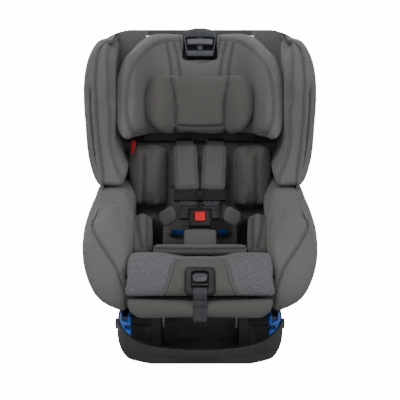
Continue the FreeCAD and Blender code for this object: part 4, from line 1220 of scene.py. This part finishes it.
quilt_line = line_on_front(tree, [(-0.070, 0.316), (-0.030, 0.313), (0.030, 0.313), (0.070, 0.316)])
sew(insert_back, [quilt_line], depth=2.6 * MM, width=4 * MM, crown=1.0 * MM)
tree = surface(insert_side)
side_line = line_on_front(tree, SIDE_SEAM)
sew(insert_side, [side_line], depth=3.5 * MM, width=4 * MM, crown=1.5 * MM)
tree = surface(insert_hips)
hip_lines = [line_near(tree, line) for line in HIP_SEAMS + [other_side(line) for line in HIP_SEAMS]]
sew(insert_hips, hip_lines, depth=3.0 * MM, width=4 * MM, crown=1.5 * MM)
tree = surface(insert_roll)
roll_line = line_on_front(tree, [(-0.098, 0.236), (-0.050, 0.2345), (0.0, 0.234), (0.050, 0.2345), (0.098, 0.236)])
sew(insert_roll, [roll_line], depth=2.6 * MM, width=3 * MM, crown=0.8 * MM)
insert_side_left = mirrored_piece(insert_side, "insert_side_left_pad")
for piece, node in ((insert_back, "insert_back"), (insert_seat, "insert_seat"), (insert_roll, "insert_front_roll"),
                    (insert_hips, "insert_hips"), (insert_side, "insert_side_right"),
                    (insert_side_left, "insert_side_left")):
    dress(piece, "insert", "insert_fabric", "seat", padded=0.5)
    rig.replaces(piece, node)
print("insert: six parts")

# %% [markdown]
# ## Harness pads
# Sleeves of dark padded cloth go round the straps at the shoulders, the hips and between the legs.
# The two at the shoulders are each closed by a stitched border.

# %% Shoulder, lap and crotch pads
HARNESS_PADS = [
    ("shoulder_pad_cover_right", "shoulder_pad_right", 6, 14.0, "headrest"),
    ("shoulder_pad_cover_left", "shoulder_pad_left", 6, 15.0, "headrest"),
    ("crotch_pad_cover", "crotch_pad", 6, 16.0, "seat"),
    ("lap_pad_covers", "lap_pads", 4, 17.0, "seat"),
]
shoulder_covers = []
for name, node, rounds, seed, body in HARNESS_PADS:
    piece = cushion(name, node, size=3 * MM, rounds=rounds, pressure=0.0, seed=seed)
    shoulder_covers.append(piece)
    dress(piece, "strap_pad", "strap_pads", body, padded=0.5)
    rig.replaces(piece, node)
print("harness pads: four")

# %% Stitched borders of the shoulder pads
def leaning_frame(origin, lean, shift=0.0, turn=0.0):
    """A function from a leaning part's own x, depth and height to the frame, in millimetres in."""
    a, b = math.radians(lean), math.radians(turn)

    def place(x, depth, height):
        x, height = x * math.cos(b) + height * math.sin(b), height * math.cos(b) - x * math.sin(b)
        y = origin[1] + depth * math.cos(a) + height * math.sin(a)
        z = origin[2] - depth * math.sin(a) + height * math.cos(a)
        return 0.001 * (origin[0] + shift + x), 0.001 * y, 0.001 * z

    return place


def border(place, half, low, high, depth):
    """A closed rectangle with cut corners, in a leaning part's own axes."""
    cut = 3.0
    corners = [
        (-half + cut, high), (half - cut, high), (half, high - cut), (half, low + cut), (half - cut, low),
        (-half + cut, low), (-half, low + cut), (-half, high - cut), (-half + cut, high)]
    return [place(x, depth, h) for x, h in corners]


for piece, side in zip(shoulder_covers, (1, -1)):
    place = leaning_frame((0.0, 100.0, 419.0), 48.5, 34.0 * side, 3.0 * side)
    tree = surface(piece)
    rows = [line_near(tree, border(place, 21.5, -127.0, -15.0, -8.0))]
    sew(piece, rows, depth=1.0 * MM, width=2 * MM, crown=0.8 * MM, reach=12 * MM)
    rows = [settle(rows[0], surface(piece))]
    thread = stitches("shoulder_thread_" + ("right" if side > 0 else "left"), rows)
    dress(thread, "thread", "strap_pads", "headrest")
print("stitched borders")

# %% [markdown]
# ## Broken edges on the mouldings
# No moulded edge is knife-sharp: a real one has a small radius that catches a line of light. Each
# moulding below is copied from its node, its flat faces are joined again, and its sharp edges are
# bevelled, wider on the parts that a hand holds.

# %% Bevelled mouldings
def broken_edges(name, node, width, segments=3):
    """A copy of a hard node with joined flat faces and bevelled edges."""
    piece = copy_of_node(name, node)
    bpy.ops.object.select_all(action="DESELECT")
    piece.select_set(True)
    bpy.context.view_layer.objects.active = piece
    bpy.ops.object.mode_set(mode="EDIT")
    bpy.ops.mesh.select_all(action="SELECT")
    bpy.ops.mesh.dissolve_limited(angle_limit=math.radians(0.8))
    bpy.ops.mesh.select_all(action="DESELECT")
    bpy.ops.object.mode_set(mode="OBJECT")
    bevel = piece.modifiers.new("edges", "BEVEL")
    bevel.width = width
    bevel.segments = segments
    bevel.limit_method = "ANGLE"
    bevel.angle_limit = math.radians(38.0)
    bevel.use_clamp_overlap = True
    apply_modifier(piece, bevel)
    piece.data.materials.clear()
    return piece


def finished_moulding(piece, node, finish, slot, body):
    """Smooth shading up to an angle, a finish, and the node's own place in the record."""
    piece.data.materials.append(FINISHES[finish])
    bpy.ops.object.select_all(action="DESELECT")
    piece.select_set(True)
    bpy.context.view_layer.objects.active = piece
    bpy.ops.object.shade_smooth_by_angle(angle=math.radians(35.0))
    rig.slot(piece, slot)
    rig.ride(piece, body)
    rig.replaces(piece, node)
    return piece


MOULDINGS = [
    ("buckle_moulding", "buckle_housing", 3.5, "dark", "dark_plastic", "seat"),
    ("clip_moulding_right", "chest_clip_right", 1.2, "dark", "dark_plastic", "seat"),
    ("clip_moulding_left", "chest_clip_left", 1.2, "dark", "dark_plastic", "seat"),
    ("tongue_moulding_right", "tongue_right", 1.2, "dark", "dark_plastic", "tongue_right"),
    ("tongue_moulding_left", "tongue_left", 1.2, "dark", "dark_plastic", "tongue_left"),
    ("belt_guide_mouldings", "belt_guides", 1.0, "blue", "blue_plastic", "base"),
    ("base_moulding", "base_tub", 1.4, "base", "base_plastic", "base"),
    ("tray_moulding", "base_foot_tray", 1.2, "base", "base_plastic", "base"),
]
for name, node, width, finish, slot, body in MOULDINGS:
    finished_moulding(broken_edges(name, node, width * MM), node, finish, slot, body)
print("mouldings:", len(MOULDINGS))


# %% [markdown]
# ## Headrest grip and tightener plate
# The grip is one moulding with an arched bar over the trigger, narrower at its foot, so that it nests
# in the notch of the cover. The tightener's plate is a rounded square with a dished recess; its button
# is an oval, and a bridge bar under it guides the strap.

# %% Grip
GRIP_FOOT, GRIP_TOP, GRIP_HALF = 446.0, 498.0, 38.0
GRIP_SILL = 0.6165


def arched(piece, rise, foot_share):
    """Tapers a part of the grip towards its foot and lifts its middle."""
    origin = np.array([0.0, 0.085, 0.160])
    lean = math.radians(12.3)
    upright = np.array([0.0, math.sin(lean), math.cos(lean)])
    points = get_points(piece)
    height = (points - origin) @ upright / MM
    share = np.clip((height - GRIP_FOOT) / (GRIP_TOP - GRIP_FOOT), 0.0, 1.0)
    bow = rise * (1.0 - (points[:, 0] / (GRIP_HALF * MM)) ** 2) * share
    points[:, 0] *= foot_share + (1.0 - foot_share) * share
    set_points(piece, points + bow[:, None] * upright)


def sliced(piece, step, half):
    """Cuts a piece into strips across x, so that it can be bent."""
    bm = bmesh.new()
    bm.from_mesh(piece.data)
    for k in range(-int(half / step), int(half / step) + 1):
        cut = bm.verts[:] + bm.edges[:] + bm.faces[:]
        bmesh.ops.bisect_plane(bm, geom=cut, plane_co=(k * step * MM + 0.0001, 0, 0), plane_no=(1, 0, 0))
    bm.to_mesh(piece.data)
    bm.free()


for name, node, finish, slot, body in (
        ("grip_moulding", "headrest_handle", "handle", "dark_plastic", "headrest"),
        ("trigger_moulding", "headrest_trigger", "grey", "grey_plastic", "headrest_trigger")):
    part = broken_edges(name, node, 1.6 * MM)
    sliced(part, 4.0, 34.0)
    arched(part, 3.0 * MM, 0.78)
    finished_moulding(part, node, finish, slot, body)
    if node == "headrest_handle":
        part.data.materials.append(FINISHES["grip_foot"])
        for face in part.data.polygons:
            face.material_index = 1 if face.center.z < GRIP_SILL and abs(face.center.x) < 0.027 else 0
print("grip and trigger")

# %% Tightener plate and button
def rounded_loop(place, half, tall, radius, depth, shift=0.0, corner_points=7):
    """A closed rounded rectangle in a leaning part's own axes; shift moves it up."""
    loop = []
    for corner_x, corner_h, start in ((1, 1, 0.0), (-1, 1, 90.0), (-1, -1, 180.0), (1, -1, 270.0)):
        for k in range(corner_points):
            angle = math.radians(start + 90.0 * k / (corner_points - 1))
            x = corner_x * (half - radius) + radius * math.cos(angle)
            h = corner_h * (tall - radius) + radius * math.sin(angle) + shift
            loop.append(place(x, depth, h))
    return loop


tightener_place = leaning_frame((0.0, -214.0, 188.0), 26.0)
PLATE_RINGS = [
    (28.5, 27.0, 9.0, 7.6, 0.0), (30.5, 29.0, 11.0, 6.0, 0.0), (30.5, 29.0, 11.0, -1.2, 0.0),
    (29.9, 28.4, 10.5, -3.2, 0.0), (28.6, 27.1, 9.5, -4.5, 0.0), (26.4, 24.9, 8.5, -5.0, 0.0),
    (18.6, 20.2, 8.5, -4.6, 1.2), (17.6, 19.4, 8.0, -3.6, 1.2), (17.0, 18.9, 7.5, -1.0, 1.2),
    (16.4, 18.4, 7.0, 4.4, 1.2)]
BUTTON_RINGS = [
    (13.6, 7.8, 5.6, 1.0, 7.0), (14.6, 8.8, 6.6, 0.4, 7.0), (14.6, 8.8, 6.6, -2.8, 7.0), (14.0, 8.2, 6.2, -3.7, 7.0),
    (12.6, 6.8, 5.4, -4.0, 7.0), (11.0, 5.4, 4.4, -3.5, 7.0)]
BRIDGE_RINGS = [
    (17.6, 1.6, 1.4, 0.5, -7.4), (18.2, 2.2, 1.8, -0.2, -7.4), (18.2, 2.2, 1.8, -3.6, -7.4),
    (17.8, 1.6, 1.4, -4.4, -7.4)]
for name, rings, node, finish, body in (
        ("tightener_plate", PLATE_RINGS, "adjuster_plate", "surround", "seat"),
        ("tightener_bridge", BRIDGE_RINGS, "", "surround", "seat"),
        ("tightener_button", BUTTON_RINGS, "adjuster_button", "handle", "adjuster_button")):
    loops = [rounded_loop(tightener_place, *ring) for ring in rings]
    part = loft(name, loops)
    dress(part, finish, "dark_plastic", body)
    if node:
        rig.replaces(part, node)
    bpy.ops.object.select_all(action="DESELECT")
    part.select_set(True)
    bpy.context.view_layer.objects.active = part
    bpy.ops.object.shade_smooth_by_angle(angle=math.radians(40.0))
print("tightener plate, bridge and button")

# %% [markdown]
# ## Harness webbing
# Webbing is a flat woven band that keeps its width, bends easily one way and bunches where it is
# pulled through a tongue. Each run is a ribbon swept along its path. Below the shoulder pads it
# stretches with the headrest, which stands for webbing that is paid out through the back.

# %% Ribbons
def ribbon(name, path, across, widths, thickness=1.6 * MM, bunch=0.0):
    """A closed band along a path; across is the width's direction, and bunch folds it in waves."""
    line = flowing_line(path, 3 * MM)
    share = np.linspace(0.0, 1.0, len(line))
    wide = np.interp(share, np.linspace(0.0, 1.0, len(widths)), widths)
    side = Vector(across).normalized()
    columns = 13
    loops = []
    for i, place in enumerate(line):
        along = Vector(line[min(i + 1, len(line) - 1)] - line[max(i - 1, 0)]).normalized()
        face = side.cross(along).normalized()
        fold = bunch * math.sin(math.pi * share[i]) ** 2
        top, bottom = [], []
        for k in range(columns):
            t = 2.0 * k / (columns - 1) - 1.0
            lift = fold * math.sin(9.0 * t + 1.3)
            middle = Vector(place) + side * (t * wide[i] / 2) + face * lift
            thin = thickness / 2 * (0.35 if abs(t) > 0.99 else 1.0)
            top.append(middle + face * thin)
            bottom.append(middle - face * thin)
        loops.append(top + bottom[::-1])
    return loft(name, loops)


nose_place = leaning_frame((0.0, -214.0, 188.0), 26.0)
pull_strap = ribbon("adjuster_webbing", [nose_place(0, 6, -14.5), nose_place(0, -5, -14.5), nose_place(0, -8, -19),
                                         nose_place(0, -8.2, -28), (0.0, -0.2287, 0.150)],
                    (1, 0, 0), [0.028, 0.028], 1.6 * MM)
pull_tail = ribbon("adjuster_webbing_tail", [(0.0, -0.2289, 0.149), (0.0, -0.2292, 0.135), (0.0, -0.2290, 0.120),
                                             (0.0, -0.2284, 0.107)], (1, 0, 0), [0.028, 0.028], 1.6 * MM)
pull_fold = ribbon("adjuster_webbing_fold", [(0.0, -0.2309, 0.152), (0.0, -0.2310, 0.146), (0.0, -0.2310, 0.140)],
                   (1, 0, 0), [0.0275, 0.0275], 1.4 * MM)
dress(pull_strap, "webbing", "webbing", "seat")
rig.replaces(pull_strap, "adjuster_strap")
dress(pull_tail, "webbing", "webbing", "leg_rest")
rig.replaces(pull_tail, "adjuster_strap_tail")
dress(pull_fold, "webbing", "webbing", "seat")
for side, hand in ((1, "right"), (-1, "left")):
    place = leaning_frame((0.0, 100.0, 419.0), 48.5, 34.0 * side, 3.0 * side)
    buckle_place = leaning_frame((0.0, -52.0, 298.0), 38.0)
    paid_out = ribbon("shoulder_webbing_" + hand, [place(0, 0, -132.5), place(0, 0, -142), place(0, 0, -151)],
                      (1, 0, 0), [0.038, 0.038])
    paid_out.data.materials.append(FINISHES["webbing"])
    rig.slot(smooth_shaded(paid_out), "webbing")
    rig.blend(paid_out, "seat", "headrest", start=place(0, 0, -150), end=place(0, 0, -133))
    path = [place(0, 0, -151.5), place(-1 * side, -0.5, -165), place(-5 * side, -2, -174),
            buckle_place(23 * side, 0, 16), buckle_place(22 * side, 0, 11.4)]
    low = ribbon("lower_webbing_" + hand, path, (1, 0, 0), [0.038, 0.036, 0.030, 0.026], bunch=2.2 * MM)
    low.data.materials.append(FINISHES["webbing"])
    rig.slot(smooth_shaded(low), "webbing")
    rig.blend(low, "seat", "tongue_" + hand, start=place(0, 0, -160), end=buckle_place(22 * side, 0, 11.4))
    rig.replaces(low, "lower_straps")
print("webbing: seven runs")

# %% [markdown]
# ## Small labels
# A car seat carries folded woven labels in its seams. Here they are plain, with no words: a red one
# beside the headrest and two blue ones in the crease of the seat.

# %% Labels
def label(name, corners, finish, slot, body):
    """A thin woven label: four corners, half a millimetre thick."""
    a, b, c, d = (Vector(p) for p in millimetres(corners))
    normal = (b - a).cross(d - a).normalized() * 0.4 * MM
    vertices = [p + normal for p in (a, b, c, d)] + [p - normal for p in (a, b, c, d)]
    faces = [(0, 1, 2, 3), (7, 6, 5, 4), (0, 4, 5, 1), (1, 5, 6, 2), (2, 6, 7, 3), (3, 7, 4, 0)]
    return dress(mesh_piece(name, vertices, faces), finish, slot, body)


label("label_red", [(-152, 86, 424), (-141, 88, 424), (-142, 82, 396), (-151, 80, 396)],
      "label_red", "cover_fabric", "seat")
for side in (-1, 1):
    label("label_blue_" + ("right" if side > 0 else "left"),
          [(side * 37, 22, 226), (side * 61, 22, 226), (side * 61, 16, 240), (side * 37, 16, 240)],
          "label_blue", "insert_fabric", "seat")
print("labels: three")

# %% Finish
json.dump({"cad": [list(v) for v in cad_box], "visual": [list(v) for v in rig.bounds()]}, open("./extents.json", "w"))
